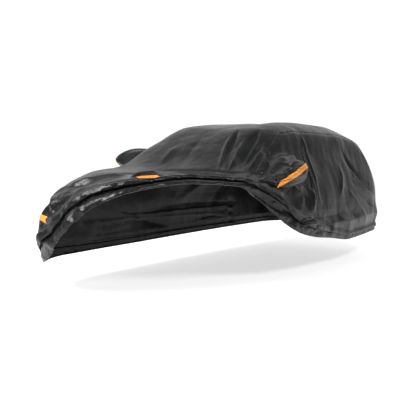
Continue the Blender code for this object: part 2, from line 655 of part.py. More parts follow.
def strip_solid(strip, points, normals):
    """A strip: a thin sheet on the cloth under it, cut to its outline."""
    start = np.array([strip.start_x, strip.start_y, strip.start_z])
    end = np.array([strip.end_x, strip.end_y, strip.end_z])
    middle = (start + end) / 2
    along = unit(end - start)
    bearing, tilt = math.radians(strip.bearing), math.radians(strip.tilt)
    face = np.array([math.sin(bearing), -math.cos(bearing), math.tan(tilt)])
    face = unit(face - (face @ along) * along)
    across = np.cross(face, along)
    size = (np.linalg.norm(end - start), strip.width, strip.depth)
    centres = (points[:-1, :-1] + points[1:, :-1] + points[:-1, 1:] + points[1:, 1:]) / 4
    spread = np.maximum(np.linalg.norm(points[1:, 1:] - points[:-1, :-1], axis=-1),
                        np.linalg.norm(points[1:, :-1] - points[:-1, 1:], axis=-1))
    kept = normals[:-1, :-1] @ face > 0
    kept &= (normals[:-1, :-1] * normals[1:, 1:]).sum(-1) > STRIP_BEND
    kept &= (normals[1:, :-1] * normals[:-1, 1:]).sum(-1) > STRIP_BEND
    for length, way in zip(size, (along, across, face)):
        kept &= np.abs((centres - middle) @ way) < length / 2 + spread
    low = points + normals * SEAM_GAP
    item = cloth_solid(strip.name, low + normals * STRIP_THICKNESS, low, kept)
    cutter_mesh = bmesh.new()
    bmesh.ops.create_cube(cutter_mesh, size=1)
    place = middle - np.array([0, HANG_Y, HANG_HEIGHT])
    for vert in cutter_mesh.verts:
        share = np.array(vert.co) * size
        vert.co = place + share[0] * along + share[1] * across + share[2] * face
    cutter = finished_object(strip.name + "_cutter", cutter_mesh)
    cutter.hide_render = True
    cutter.display_type = "WIRE"
    cut = item.modifiers.new("outline", "BOOLEAN")
    cut.operation = "INTERSECT"
    cut.object = cutter
    return item


def build():
    """Build the whole cover."""
    clear_scene()
    cloth = finish("cloth", (0.045, 0.045, 0.048), 0.45)
    tape = finish("reflective tape", (0.85, 0.30, 0.05), 0.5)
    zip_tape = finish("zip tape", (0.010, 0.010, 0.011), 0.6)
    grids = {"top_panel": top_grid(), "side_panel_left": side_grid(1), "side_panel_right": side_grid(-1)}
    points, normals = grids["top_panel"]
    moves = drawn_in(points, SEAM_GAP, columns=((0, 1), (-1, -2)))
    panel_solid("top_panel", points, normals, moves).data.materials.append(cloth)
    for name, pocket in (("side_panel_left", POCKETS[0]), ("side_panel_right", POCKETS[1])):
        points, normals = grids[name]
        block = pocket_block(pocket)
        moves = drawn_in(points, SEAM_GAP, rows=((0, 1),), columns=((0, 1), (-1, -2)))
        moves += hole_moves(points, block)
        panel_solid(name, points, normals, moves, block).data.materials.append(cloth)
        points, normals = pocket_grid(pocket, points, normals)
        moves = drawn_in(points, POCKET_GAP, rows=((0, 1), (-1, -2)), columns=((0, 1), (-1, -2)))
        panel_solid(pocket.name, points, normals, moves).data.materials.append(cloth)
        grids[pocket.name] = (points, normals)
    for strip in STRIPS:
        item = strip_solid(strip, *grids[strip.grid])
        item.data.materials.append(zip_tape if strip.name == "door_zip" else tape)


build()
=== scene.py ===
"""Fitted car cover, drawn back from its front left corner: the looks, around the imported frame."""
import math
from collections import namedtuple

import bmesh
import bpy
import numpy as np
from mathutils import Matrix, Vector, noise
from mathutils.bvhtree import BVHTree


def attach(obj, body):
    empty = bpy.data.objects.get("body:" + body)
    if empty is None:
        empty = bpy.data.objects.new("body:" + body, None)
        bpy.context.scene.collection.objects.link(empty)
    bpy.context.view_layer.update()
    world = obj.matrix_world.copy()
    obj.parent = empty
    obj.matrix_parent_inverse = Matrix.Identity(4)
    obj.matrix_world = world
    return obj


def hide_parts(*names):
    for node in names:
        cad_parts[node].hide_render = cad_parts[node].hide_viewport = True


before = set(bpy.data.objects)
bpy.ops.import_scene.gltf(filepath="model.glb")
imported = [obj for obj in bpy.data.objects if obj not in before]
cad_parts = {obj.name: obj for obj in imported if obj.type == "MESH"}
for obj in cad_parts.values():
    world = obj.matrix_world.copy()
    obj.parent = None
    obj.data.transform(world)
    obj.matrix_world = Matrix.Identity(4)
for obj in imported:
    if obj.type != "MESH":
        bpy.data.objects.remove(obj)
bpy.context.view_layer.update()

# Sizes of the cover. The cloth here is thinner than its solids.
CLOTH_THICKNESS = 0.0015
SOLID_THICKNESS = 0.002
SEAM_GAP = 0.0003
MIDDLE_Y = 1.36
TOP_HEIGHT = 1.470
HANG_HEIGHT = TOP_HEIGHT - SOLID_THICKNESS - SEAM_GAP
HANG_PLACE = np.array([0, 1.60, HANG_HEIGHT])  # the point that the cover hangs from, the frame's origin

# Crown of the top: level in the middle, falling to the front, the rear and the sides
CROWN_FRONT_Y = 1.30
CROWN_REAR_Y = 2.05
CROWN_FRONT_DROP = 0.085
CROWN_FRONT_RUN = 0.40
CROWN_REAR_DROP = 0.112
CROWN_REAR_RUN = 0.85
CROWN_REAR_POWER = 2.2
CROWN_SIDE_DROP = 0.100
CROWN_SIDE_POWER = 5.0

# Belts round the cover, from the top seam (level 0) to the hem (level 6). Heights are over the ground
# and y is measured from a line across the cover near its front. Each end is bowed, tapered and rounded
# at its corners.
Belt = namedtuple("Belt", "name half_width y_front y_rear corner_front corner_rear bow_front bow_rear "
                          "taper_front taper_rear z_front z_front_corner z_side z_rear_corner z_rear")
BELTS = (
    Belt("top seam", 0.625, 0.90, 2.90, 0.18, 0.26, 0.10, 0.08, 0.00, 0.02, 0, 0, 0, 0, 0),
    Belt("slope", 0.695, 0.58, 3.11, 0.20, 0.28, 0.12, 0.10, 0.00, 0.03, 1.200, 1.150, 1.170, 1.150, 1.160),
    Belt("waist", 0.780, 0.24, 3.19, 0.22, 0.30, 0.14, 0.10, 0.00, 0.05, 1.000, 0.965, 0.955, 0.950, 0.950),
    Belt("shelf", 0.830, -0.26, 3.21, 0.28, 0.30, 0.16, 0.10, 0.02, 0.07, 0.935, 0.880, 0.790, 0.79, 0.79),
    Belt("nose", 0.850, -0.69, 3.23, 0.34, 0.30, 0.18, 0.10, 0.05, 0.09, 0.775, 0.730, 0.620, 0.63, 0.63),
    Belt("skirt", 0.860, -0.83, 3.25, 0.36, 0.30, 0.20, 0.10, 0.06, 0.10, 0.500, 0.480, 0.440, 0.48, 0.48),
    Belt("hem", 0.850, -0.80, 3.22, 0.36, 0.30, 0.20, 0.10, 0.06, 0.10, 0.215, 0.215, 0.250, 0.285, 0.30),
)
LAST_LEVEL = len(BELTS) - 1
CORNER_POWER = 2.3
HELPER_INSET = 0.12
TAIL_STEP = 0.7

# Places where the cloth stands away from the form
Bulge = namedtuple("Bulge", "name middle reach push")
BULGES = (
    Bulge("right of front slope", (-0.55, 0.75, 1.25), 0.30, (-0.02, -0.06, 0.065)),
    Bulge("right waist", (-0.66, 0.45, 1.08), 0.22, (-0.01, -0.03, 0.060)),
    Bulge("right of shelf", (-0.62, -0.08, 0.95), 0.33, (-0.02, -0.03, 0.075)),
    Bulge("right front corner", (-0.66, -0.66, 0.48), 0.28, (-0.025, -0.020, 0.000)),
)

# The lower edge all round. turn: 0 front centre, 1 front corner, 3 rear corner, 4 rear centre, and
# negative on the right. band is the width of the turned-up band, lip the height of the fold above it, and
# gather the height of the small pleats along them.
Edge = namedtuple("Edge", "turn level band lip gather")
EDGES = (
    Edge(-4.0, 6.00, 0.050, 0.012, 0.004),
    Edge(-3.0, 6.00, 0.050, 0.012, 0.004),
    Edge(-2.0, 6.00, 0.050, 0.012, 0.004),
    Edge(-1.2, 6.00, 0.060, 0.012, 0.005),
    Edge(-0.8, 5.95, 0.100, 0.014, 0.004),
    Edge(-0.6, 5.80, 0.140, 0.026, 0.008),
    Edge(-0.4, 5.47, 0.160, 0.040, 0.014),
    Edge(-0.2, 4.98, 0.170, 0.045, 0.014),
    Edge(0.0, 4.52, 0.170, 0.045, 0.013),
    Edge(0.2, 4.04, 0.150, 0.042, 0.012),
    Edge(0.4, 3.60, 0.140, 0.038, 0.010),
    Edge(0.6, 3.08, 0.130, 0.036, 0.008),
    Edge(0.8, 2.87, 0.110, 0.034, 0.006),
    Edge(1.0, 2.80, 0.100, 0.032, 0.005),
    Edge(1.2, 3.06, 0.110, 0.034, 0.005),
    Edge(1.4, 3.52, 0.120, 0.036, 0.006),
    Edge(1.6, 4.09, 0.120, 0.036, 0.008),
    Edge(1.8, 4.84, 0.100, 0.030, 0.008),
    Edge(2.0, 5.31, 0.075, 0.020, 0.007),
    Edge(2.2, 5.60, 0.060, 0.014, 0.006),
    Edge(2.4, 5.94, 0.050, 0.012, 0.005),
    Edge(3.0, 6.00, 0.050, 0.012, 0.004),
    Edge(4.0, 6.00, 0.050, 0.012, 0.004),
)
# Section through the hem: the distance in from the edge in band widths, and the rise in lip heights
HemRow = namedtuple("HemRow", "name inward rise")
HEM_ROWS = (
    HemRow("cloth", 2.35, 0.00),
    HemRow("foot of lip", 1.95, 0.30),
    HemRow("back of lip", 1.65, 0.85),
    HemRow("top of lip", 1.36, 1.15),
    HemRow("front of lip", 1.12, 1.05),
    HemRow("nose of lip", 0.98, 0.62),
    HemRow("groove", 1.10, 0.05),
    HemRow("inner band", 0.76, 0.20),
    HemRow("top of band", 0.42, 0.36),
    HemRow("outer band", 0.12, 0.26),
    HemRow("edge", 0.00, 0.00),
    HemRow("turned under", 0.14, -0.35),
)
HEM_STITCH = 1.42  # the hem's row of stitches, in band widths in from the edge
FORM_ROWS = 15

# Cells of the modelled cloth
FORM_SPLIT = 8
HEM_SPLIT = 6
FRONT_COLUMNS = 140
TOP_THINNING = 2
REAR_THINNING = 3
FRONT_CROWDING = 0.45
SIDE_COLUMNS = 170
SIDE_CROWDING = 1.25

# Folds and creases of the wall, between (turn, level) points, and of the top, between (x, y) points.
# A negative height is a trough. lean makes one side steeper: above 0 the side on the left of the way it
# runs, seen from outside, and below 0 the one on its right.
Crease = namedtuple("Crease", "name path width height lean on", defaults=(0.0, "wall"))
CREASES = tuple(Crease(*row) for row in (
    ("slope trough 1", ((0.38, 0.02), (0.50, 0.95), (0.64, 1.88)), 0.031, -0.034, 0.3),
    ("slope ridge 1", ((0.33, 0.25), (0.45, 1.00), (0.59, 1.88)), 0.025, 0.028, -0.2),
    ("slope trough 2", ((0.74, 0.05), (0.76, 0.90), (0.79, 1.85)), 0.029, -0.040, 0.3),
    ("slope ridge 2", ((0.60, 0.50), (0.67, 1.20), (0.70, 1.86)), 0.024, 0.028, -0.2),
    ("slope ridge 2b", ((0.52, 0.85), (0.60, 1.40), (0.66, 1.86)), 0.015, 0.013),
    ("slope trough 4", ((0.90, 0.45), (0.87, 1.10), (0.82, 1.80)), 0.022, -0.024),
    ("slope ridge 3", ((0.95, 0.70), (0.94, 1.30), (0.93, 1.84)), 0.022, 0.026, 0.2),
    ("slope far ridge", ((-0.36, 1.00), (-0.28, 1.85)), 0.055, 0.016),
    ("slope far trough", ((-0.10, 0.60), (0.02, 1.80)), 0.060, -0.012),
    ("slope foot trough", ((-0.35, 2.15), (0.35, 2.02), (0.98, 1.90)), 0.025, -0.030, -0.3),
    ("slope foot ridge", ((-0.20, 2.30), (0.45, 2.16), (1.00, 2.06)), 0.031, 0.018),
    ("shelf trough", ((-0.50, 3.22), (-0.14, 2.76), (0.02, 2.56)), 0.034, -0.036, -0.4),
    ("shelf ridge", ((-0.70, 3.75), (-0.34, 3.12), (-0.08, 2.86)), 0.045, 0.026, 0.3),
    ("shelf ridge 2", ((-0.30, 3.60), (0.06, 3.22), (0.30, 2.92)), 0.040, 0.016),
    ("strip ridge", ((0.065, 3.20), (0.09, 2.80), (0.115, 2.40)), 0.042, 0.040, -0.1),
    ("strip trough", ((0.20, 3.00), (0.21, 2.75), (0.22, 2.48)), 0.030, -0.016),
    ("front pit", ((-0.62, 4.30), (-0.50, 4.22), (-0.38, 4.08)), 0.040, -0.046),
    ("front ridge 1", ((-0.66, 4.24), (-0.52, 4.06), (-0.36, 3.78)), 0.040, 0.028, 0.3),
    ("front ridge 2", ((-0.66, 4.80), (-0.50, 4.52), (-0.34, 4.36)), 0.034, 0.030, 0.2),
    ("front trough 2", ((-0.72, 5.00), (-0.54, 4.74), (-0.40, 4.62)), 0.034, -0.034),
    ("front ridge 3", ((-0.66, 5.30), (-0.56, 5.02), (-0.46, 4.80)), 0.030, 0.016, 0.2),
    ("front trough 3", ((-0.92, 5.00), (-0.84, 5.40), (-0.74, 5.70)), 0.040, -0.024),
    ("front trough 4", ((-0.70, 3.70), (-0.48, 3.50), (-0.26, 3.30)), 0.036, -0.024),
    ("front ridge 5", ((-0.70, 3.62), (-0.56, 3.40), (-0.40, 3.12)), 0.034, 0.018),
    ("pocket root crease", ((0.98, 1.94), (1.05, 1.88), (1.12, 1.96)), 0.024, -0.016),
    ("under pocket crease", ((1.12, 2.05), (1.20, 2.36), (1.44, 2.98)), 0.030, -0.038, 0.3),
    ("star crease up", ((1.02, 0.80), (1.05, 1.10), (1.08, 1.45)), 0.023, -0.021),
    ("star fold up", ((0.98, 0.90), (1.02, 1.20), (1.06, 1.50)), 0.023, 0.017),
    ("dome ridge", ((1.08, 1.42), (1.14, 1.14), (1.30, 0.98)), 0.023, 0.021, 0.2),
    ("dome trough", ((1.10, 1.46), (1.22, 1.36), (1.36, 1.30)), 0.018, -0.015),
    ("dome fold", ((1.09, 1.50), (1.24, 1.56), (1.44, 1.58)), 0.023, 0.023, -0.4),
    ("dome trough 2", ((1.10, 1.60), (1.24, 1.78), (1.38, 1.92)), 0.023, -0.027),
    ("dome fold 2", ((1.12, 1.74), (1.24, 1.98), (1.34, 2.14)), 0.021, 0.019, -0.3),
    ("dome trough 3", ((1.12, 1.90), (1.22, 2.18), (1.32, 2.36)), 0.021, -0.023),
    ("flap 1", ((1.04, 2.40), (1.24, 2.62), (1.46, 3.06), (1.64, 3.34)), 0.027, 0.033, -0.4),
    ("flap groove 1", ((1.10, 2.60), (1.32, 2.96), (1.56, 3.44), (1.76, 3.84)), 0.023, -0.045, 0.2),
    ("flap 2", ((1.22, 2.88), (1.46, 3.38), (1.76, 4.02), (1.90, 4.44)), 0.023, 0.035, -0.4),
    ("flap groove 2", ((1.16, 2.96), (1.44, 3.50), (1.72, 4.16)), 0.022, -0.035),
    ("side ridge 1", ((1.56, 2.62), (1.74, 3.30), (1.86, 4.30)), 0.031, 0.043, 0.3),
    ("side trough 1", ((1.66, 2.60), (1.84, 3.30), (1.93, 4.10)), 0.031, -0.033),
    ("side ridge 2", ((1.80, 2.70), (1.92, 3.40), (1.99, 4.20)), 0.027, 0.020),
    ("crumple 1", ((1.82, 4.30), (1.90, 4.22), (2.00, 4.34)), 0.018, 0.027, -0.4),
    ("crumple 2", ((1.80, 4.44), (1.90, 4.46), (2.02, 4.54)), 0.016, -0.033),
    ("crumple 3", ((1.84, 4.62), (1.94, 4.62), (2.06, 4.60)), 0.020, 0.022, -0.4),
    ("short notch", ((1.98, 4.62), (2.00, 4.98)), 0.016, -0.018),
    ("beside zip", ((1.42, 0.16), (1.55, 0.76), (1.74, 1.98), (2.14, 4.20)), 0.030, 0.020, 0.3),
    ("under zip", ((1.36, 0.10), (1.50, 0.75), (1.68, 2.00), (2.07, 4.34)), 0.018, -0.012),
    ("rear trough 1", ((2.26, 0.50), (2.50, 2.00), (2.92, 3.60)), 0.043, -0.023, 0.2),
    ("rear ridge 1", ((2.32, 1.40), (2.56, 2.40), (2.90, 3.90)), 0.031, 0.019, 0.2),
    ("rear trough 2", ((2.36, 2.20), (2.70, 3.60), (2.86, 4.50)), 0.034, -0.023, 0.2),
    ("rear ridge 2", ((2.34, 2.80), (2.58, 4.10), (2.74, 5.60)), 0.034, 0.020, 0.2),
    ("rear trough 3", ((2.24, 2.60), (2.46, 4.20), (2.60, 5.40)), 0.043, -0.019, 0.2),
    ("rear ridge 4", ((2.16, 1.20), (2.28, 3.40)), 0.038, 0.014),
    ("rear hem hollow", ((2.10, 4.40), (2.22, 5.10)), 0.060, -0.024, 0.2),
    ("rear hem ridge", ((2.26, 4.40), (2.50, 5.50)), 0.050, 0.018),
    ("right trough 1", ((-1.50, 0.40), (-1.75, 3.20)), 0.070, -0.024, 0.2),
    ("right ridge 1", ((-1.30, 0.50), (-1.56, 3.60)), 0.060, 0.018),
    ("right trough 2", ((-2.10, 0.60), (-1.95, 4.20)), 0.080, -0.026, 0.2),
    ("right ridge 2", ((-2.35, 1.20), (-2.30, 4.80)), 0.070, 0.020),
    ("right trough 3", ((-2.60, 0.80), (-2.90, 3.80)), 0.070, -0.026),
    ("right front trough", ((-1.15, 3.30), (-1.30, 5.30)), 0.060, -0.026, 0.2),
    ("right low ridge", ((-1.60, 4.60), (-1.95, 5.50)), 0.060, 0.018),
    ("tail trough 1", ((3.30, 0.60), (3.20, 3.80)), 0.070, -0.024, 0.2),
    ("tail ridge", ((3.80, 0.80), (3.75, 4.60)), 0.080, 0.018),
    ("tail trough 2", ((-3.45, 0.60), (-3.30, 4.20)), 0.070, -0.024),
    ("tail low fold", ((3.10, 4.40), (3.60, 4.90), (-3.60, 4.80)), 0.050, 0.016, 0.2),
    ("left roof ridge", ((0.40, 1.00), (0.44, 1.90), (0.42, 2.80)), 0.130, 0.030, 0.0, "top"),
    ("top fold 1", ((0.28, 0.95), (0.22, 1.75)), 0.070, -0.012, 0.0, "top"),
    ("top fold 2", ((-0.25, 1.95), (-0.20, 2.75)), 0.080, -0.012, 0.0, "top"),
    ("top fold 3", ((0.33, 2.05), (0.30, 2.80)), 0.070, -0.011, 0.0, "top"),
))
CREASE_STEPS = 14
CREASE_FADE = 0.35
CREASE_SHARPNESS = 1.5
CREASE_REACH = 2.6
CREASE_END_WIDTH = 0.55

# Slack all over the cloth, in waves that run mostly downwards. It is calm from the roof's edge up.
Wave = namedtuple("Wave", "finer height seed")
SLACK_SCALE = (2.6, 2.6, 1.1)
SLACK_WAVES = (Wave(1.0, 0.006, 1), Wave(2.3, 0.0032, 2), Wave(4.6, 0.0006, 8))
CALM_HEIGHTS = (1.30, 1.42)
CALM_SHARE = 0.75

# Crumpled cloth that is heaped at the front, in sharp folds
HeapFold = namedtuple("HeapFold", "scale scale_up height seed")
HEAP_MIDDLE = (-0.44, -0.64, 0.60)
HEAP_REACH = (0.36, 0.30, 0.30)
HEAP_FOLDS = (HeapFold(4.0, 7.5, 0.042, 3), HeapFold(9.0, 14.0, 0.008, 4))
HEAP_SINK = 0.043
HEAP_LEAST = 0.02

# Pleats along the hem, which start and end at distances in from the edge in band widths, and the cloth
# that the seams' stitches draw in and pucker
PLEAT_SCALE = 15
PLEAT_SCALE_IN = 6
PLEAT_FINER = 2.4
PLEAT_SEEDS = (5, 6)
PLEAT_START = (0, 0.25)
PLEAT_END = (1.0, 2.4)
PLEAT_LEAST = 0.0002
PINCH_DEPTH = 0.005
PINCH_WIDTH = 0.013
PUCKER_HEIGHT = 0.0025
PUCKER_REACH = 0.04
PUCKER_SCALE = 24
PUCKER_SEED = 9

# Where the turned-under band is crumpled and, under a tall lip, painted darker as shade: distances in from
# its edge in band widths, and lip heights
BAND_SHARES = (1.0, 1.3)
BAND_LIPS = (0.012, 0.028)

# Pockets that stand out of the side panels, in the place of a block of their cells
Pocket = namedtuple("Pocket", "name side turns rows push square fullness steep slack wrinkle wrinkles")
POCKETS = (
    Pocket("mirror_pocket_left", 1, (1.07, 1.58), (6, 16), (0.180, 0.015, 0.035),
           3.0, 2.2, 0.50, 0.35, 0.010, 3.0),
    Pocket("mirror_pocket_right", -1, (1.05, 1.30), (3, 6), (-0.225, -0.100, 0.080),
           2.6, 2.0, 0.50, 0.00, 0.008, 3.0),
)
POCKET_SPLIT = 2
WRINKLE_SLANT = 0.35
POCKET_SLACK_SCALE = 11
POCKET_SLACK_HEIGHT = 0.004
POCKET_SLACK_SIDE = (0.1, 0.9)
POCKET_SLACK_SEED = 12

# Strips sewn on, from the middle of one end to the middle of the other, and the way they face
Strip = namedtuple("Strip", "name width depth start end bearing tilt")
STRIPS = (
    Strip("strip_shelf", 0.045, 0.10, (0.107, -0.288, 0.929), (0.163, -0.101, 0.956), 46, 40),
    Strip("strip_front", 0.045, 0.20, (-0.450, -0.770, 0.597), (-0.735, -0.585, 0.622), -40, 10),
    Strip("strip_pocket_left", 0.045, 0.26, (0.862, 0.567, 0.876), (0.890, 1.014, 1.049), 50, 5),
    Strip("strip_pocket_right", 0.045, 0.14, (-0.893, 0.372, 1.040), (-0.965, 0.500, 1.140), -45, 0),
    Strip("strip_tail", 0.045, 0.24, (0.690, 3.000, 0.870), (0.330, 3.120, 0.870), 160, 5),
    Strip("door_zip", 0.024, 0.26, (0.635, 1.309, 1.338), (0.879, 1.353, 0.560), 90, 10),
)
STRIP_STEP = 0.006
STRIP_LIFT = 0.0010
STRIP_STIFFNESS = 24  # rounds of smoothing
STRIP_SLACK = 0.0012
STRIP_THICKNESS = 0.0006
# crumple marks the crumpled band and heap, where the cloth finish also paints shade
CHANNELS = ("seam", "seam_run", "hem", "hem_run", "crumple")
RAY_STEPS = 121
LEVEL_STEP = 0.01
TURN_STEP = 0.004
SEED_STEP = (7.31, 3.17, 5.71)


# ---------------------------------------------------------------- form

def unit(vectors):
    """Vectors at length 1."""
    return vectors / np.maximum(np.linalg.norm(vectors, axis=-1, keepdims=True), 1e-12)


def lengths_along(points, axis=0):
    """Running lengths along the lines of a grid, or of a row of points."""
    steps = np.linalg.norm(np.diff(points, axis=axis), axis=-1)
    first = np.zeros_like(np.take(steps, [0], axis=axis))
    return np.concatenate([first, np.cumsum(steps, axis=axis)], axis=axis)


def smooth_curve(xs, ys, x):
    """Smooth curve through the points (xs, ys), read at x."""
    xs, ys, x = np.asarray(xs, float), np.asarray(ys, float), np.asarray(x, float)
    place = np.clip(np.searchsorted(xs, x) - 1, 0, len(xs) - 2)
    slopes = np.gradient(ys, xs)
    span = xs[place + 1] - xs[place]
    f = np.clip((x - xs[place]) / span, 0, 1)
    start = (2 * f**3 - 3 * f**2 + 1) * ys[place] + (f**3 - 2 * f**2 + f) * span * slopes[place]
    end = (3 * f**2 - 2 * f**3) * ys[place + 1] + (f**3 - f**2) * span * slopes[place + 1]
    return start + end


def turned(turns):
    """Turns kept between -4 and 4."""
    return (np.asarray(turns, float) + 4) % 8 - 4


def crown_height(x, y):
    """Height of the top cloth over the ground at plan point x, y."""
    front = np.maximum(CROWN_FRONT_Y - y, 0.0) / CROWN_FRONT_RUN
    rear = np.maximum(y - CROWN_REAR_Y, 0.0) / CROWN_REAR_RUN
    side = np.abs(x) / BELTS[0].half_width
    return (TOP_HEIGHT - CROWN_FRONT_DROP * front**2 - CROWN_REAR_DROP * rear**CROWN_REAR_POWER
            - CROWN_SIDE_DROP * side**CROWN_SIDE_POWER)


def belt_end(half_width, length, corner, bow, taper):
    """Quarter outline of a belt from the middle of its end to its side, and its corner's index."""
    flat = [(x, length) for x in np.linspace(0, half_width - corner, 24)]
    round_part = []
    for angle in np.linspace(0, math.pi / 2, 41)[1:]:
        round_part.append((half_width - corner + corner * math.sin(angle) ** (2 / CORNER_POWER),
                           length - corner + corner * math.cos(angle) ** (2 / CORNER_POWER)))
    side = [(half_width, y) for y in np.linspace(length - corner, 0, 60)[1:]]
    outline = np.array(flat + round_part + side)
    share = np.clip(outline[:, 1] / length, 0, 1)
    outline[:, 1] -= bow * (outline[:, 0] / half_width) ** 2 * share**3
    outline[:, 0] *= 1 - taper / half_width * share**2
    return outline, len(flat) + len(round_part) // 2 - 1


def belt_outline(belt):
    """Left half outline of a belt, its running length, and the lengths at its two corners."""
    front, front_corner = belt_end(belt.half_width, MIDDLE_Y - belt.y_front, belt.corner_front,
                                   belt.bow_front, belt.taper_front)
    rear, rear_corner = belt_end(belt.half_width, belt.y_rear - MIDDLE_Y, belt.corner_rear,
                                 belt.bow_rear, belt.taper_rear)
    front[:, 1] = MIDDLE_Y - front[:, 1]
    rear[:, 1] = MIDDLE_Y + rear[:, 1]
    outline = np.concatenate([front, rear[::-1][1:]])
    run = lengths_along(outline)
    return outline, run, run[front_corner], run[len(outline) - 1 - rear_corner]


def belt_points(belt, turns):
    """Points of a belt at turns round the cover."""
    outline, run, front_run, rear_run = belt_outline(belt)
    target = np.interp(np.abs(turns), [0, 1, 3, 4], [0, front_run, rear_run, run[-1]])
    x = np.copysign(np.interp(target, run, outline[:, 0]), turns)
    y = np.interp(target, run, outline[:, 1])
    if belt is BELTS[0]:
        return np.stack([x, y, crown_height(x, y)], -1)
    heights = (belt.z_front_corner, belt.z_front, belt.z_front_corner, belt.z_side,
               belt.z_rear_corner, belt.z_rear, belt.z_rear_corner)
    return np.stack([x, y, smooth_curve(range(-1, 6), heights, np.abs(turns))], -1)


def bulged(points):
    """Points of the form, pushed out where the cloth stands away from it."""
    moved = points.copy()
    for bulge in BULGES:
        away = points - np.array(bulge.middle)
        share = np.exp(-(away**2).sum(-1) / (2 * bulge.reach**2))
        moved += share[..., None] * np.array(bulge.push)
    return moved


def wall_controls(turns):
    """The belts' points at each turn, with a helper point at each end."""
    points = [belt_points(belt, turns) for belt in BELTS]
    seam = points[0][:, :2]
    middle = np.stack([np.zeros(len(turns)), np.clip(seam[:, 1], CROWN_FRONT_Y, CROWN_REAR_Y)], -1)
    inner = seam + unit(middle - seam) * HELPER_INSET
    helper = np.stack([inner[:, 0], inner[:, 1], crown_height(inner[:, 0], inner[:, 1])], -1)
    tail = points[-1] + (points[-1] - points[-2]) * TAIL_STEP
    return np.stack([helper] + points + [tail])


def wall_form(turns, levels):
    """Points of the wall at turns (one for each column) and levels (rows by columns)."""
    controls = wall_controls(turns)
    columns = np.arange(len(turns))[None, :]
    place = np.clip(levels.astype(int), 0, LAST_LEVEL - 1)
    p = [controls[place + k, columns] for k in range(4)]
    knots = [np.zeros(levels.shape)]
    for k in range(3):
        knots.append(knots[-1] + np.sqrt(np.linalg.norm(p[k + 1] - p[k], axis=-1)))
    at = knots[1] + (knots[2] - knots[1]) * (levels - place)

    def mix(low, high, first, last):
        share = ((at - knots[first]) / (knots[last] - knots[first]))[..., None]
        return low * (1 - share) + high * share

    a = [mix(p[k], p[k + 1], k, k + 1) for k in range(3)]
    b = [mix(a[k], a[k + 1], k, k + 2) for k in range(2)]
    return bulged(mix(b[0], b[1], 1, 2))


class Rays:
    """The wall's lengths down each of a row of turns, and its lower edge."""

    def __init__(self, turns):
        self.turns = turned(turns)
        self.levels = np.linspace(0, LAST_LEVEL, RAY_STEPS)
        self.run = lengths_along(wall_form(self.turns, np.repeat(self.levels[:, None], len(self.turns), 1)))
        table = np.array(EDGES)
        level, self.band, self.lip, self.gather = (smooth_curve(table[:, 0], table[:, k], self.turns)
                                                   for k in range(1, 5))
        self.edge = np.array([np.interp(level[k], self.levels, self.run[:, k])
                              for k in range(len(self.turns))])

    def level_at(self, runs):
        """Levels at lengths down the wall (rows by columns)."""
        return np.stack([np.interp(runs[:, k], self.run[:, k], self.levels)
                         for k in range(len(self.turns))], -1)

    def points(self, runs):
        """Points at lengths down the wall (rows by columns)."""
        return wall_form(self.turns, self.level_at(runs))

    def normals(self, runs):
        """Outward normals of the form at lengths down the wall (rows by columns)."""
        levels = self.level_at(runs)
        down = (wall_form(self.turns, np.clip(levels + LEVEL_STEP, 0, LAST_LEVEL))
                - wall_form(self.turns, np.clip(levels - LEVEL_STEP, 0, LAST_LEVEL)))
        side = (wall_form(turned(self.turns + TURN_STEP), levels)
                - wall_form(turned(self.turns - TURN_STEP), levels))
        return unit(np.cross(down, side))


def top_form(across, along):
    """Points of the top (along by across), across -1 to 1 and along 0 to 1, front to rear."""
    front = belt_points(BELTS[0], across)[None]
    rear = belt_points(BELTS[0], np.copysign(4 - np.abs(across), across))[None]
    side = belt_points(BELTS[0], 1 + 2 * along)[:, None]
    front_corner, rear_corner = belt_points(BELTS[0], np.array([1.0, 3.0]))
    along = along[:, None]
    share = (1 - along) * front[..., 0] / front_corner[0] + along * rear[..., 0] / rear_corner[0]
    x = share * side[..., 0]
    y = ((1 - along) * front[..., 1] + along * rear[..., 1] + side[..., 1]
         - (1 - along) * front_corner[1] - along * rear_corner[1])
    return bulged(np.stack([x, y, crown_height(x, y)], -1))


# ---------------------------------------------------------------- cloth

def front_turns():
    """Turns of the top panel's columns, crowded towards the left, where most folds are."""
    shares = np.arange(FRONT_COLUMNS + 1) / FRONT_COLUMNS
    return -1 + 2 * (shares + FRONT_CROWDING * np.sin(math.pi * shares) / math.pi)


def side_turns():
    """Turns of a side panel's columns, crowded towards the front."""
    shares = np.arange(SIDE_COLUMNS + 1) / SIDE_COLUMNS
    return 1 + 2 * shares**SIDE_CROWDING


def hem_section():
    """Rows of the hem: distances in from the edge in band widths and rises in lip heights."""
    steps = np.arange(0, (len(HEM_ROWS) - 1) * HEM_SPLIT + 1) / HEM_SPLIT
    names, *columns = zip(*HEM_ROWS)
    return [smooth_curve(range(len(names)), column, steps) for column in columns]


def grid_normals(points):
    """Normals of a grid of points whose rows run down and whose columns run round to the rear."""
    return unit(np.cross(np.gradient(points, axis=0), np.gradient(points, axis=1)))


def crease_path(crease):
    """Points along the middle of a crease."""
    count = len(crease.path)
    steps = np.linspace(0, count - 1, CREASE_STEPS)
    first, second = (smooth_curve(range(count), values, steps) for values in zip(*crease.path))
    if crease.on == "top":
        return np.stack([first, second, crown_height(first, second)], -1)
    return wall_form(turned(first), second[None, :])[0]


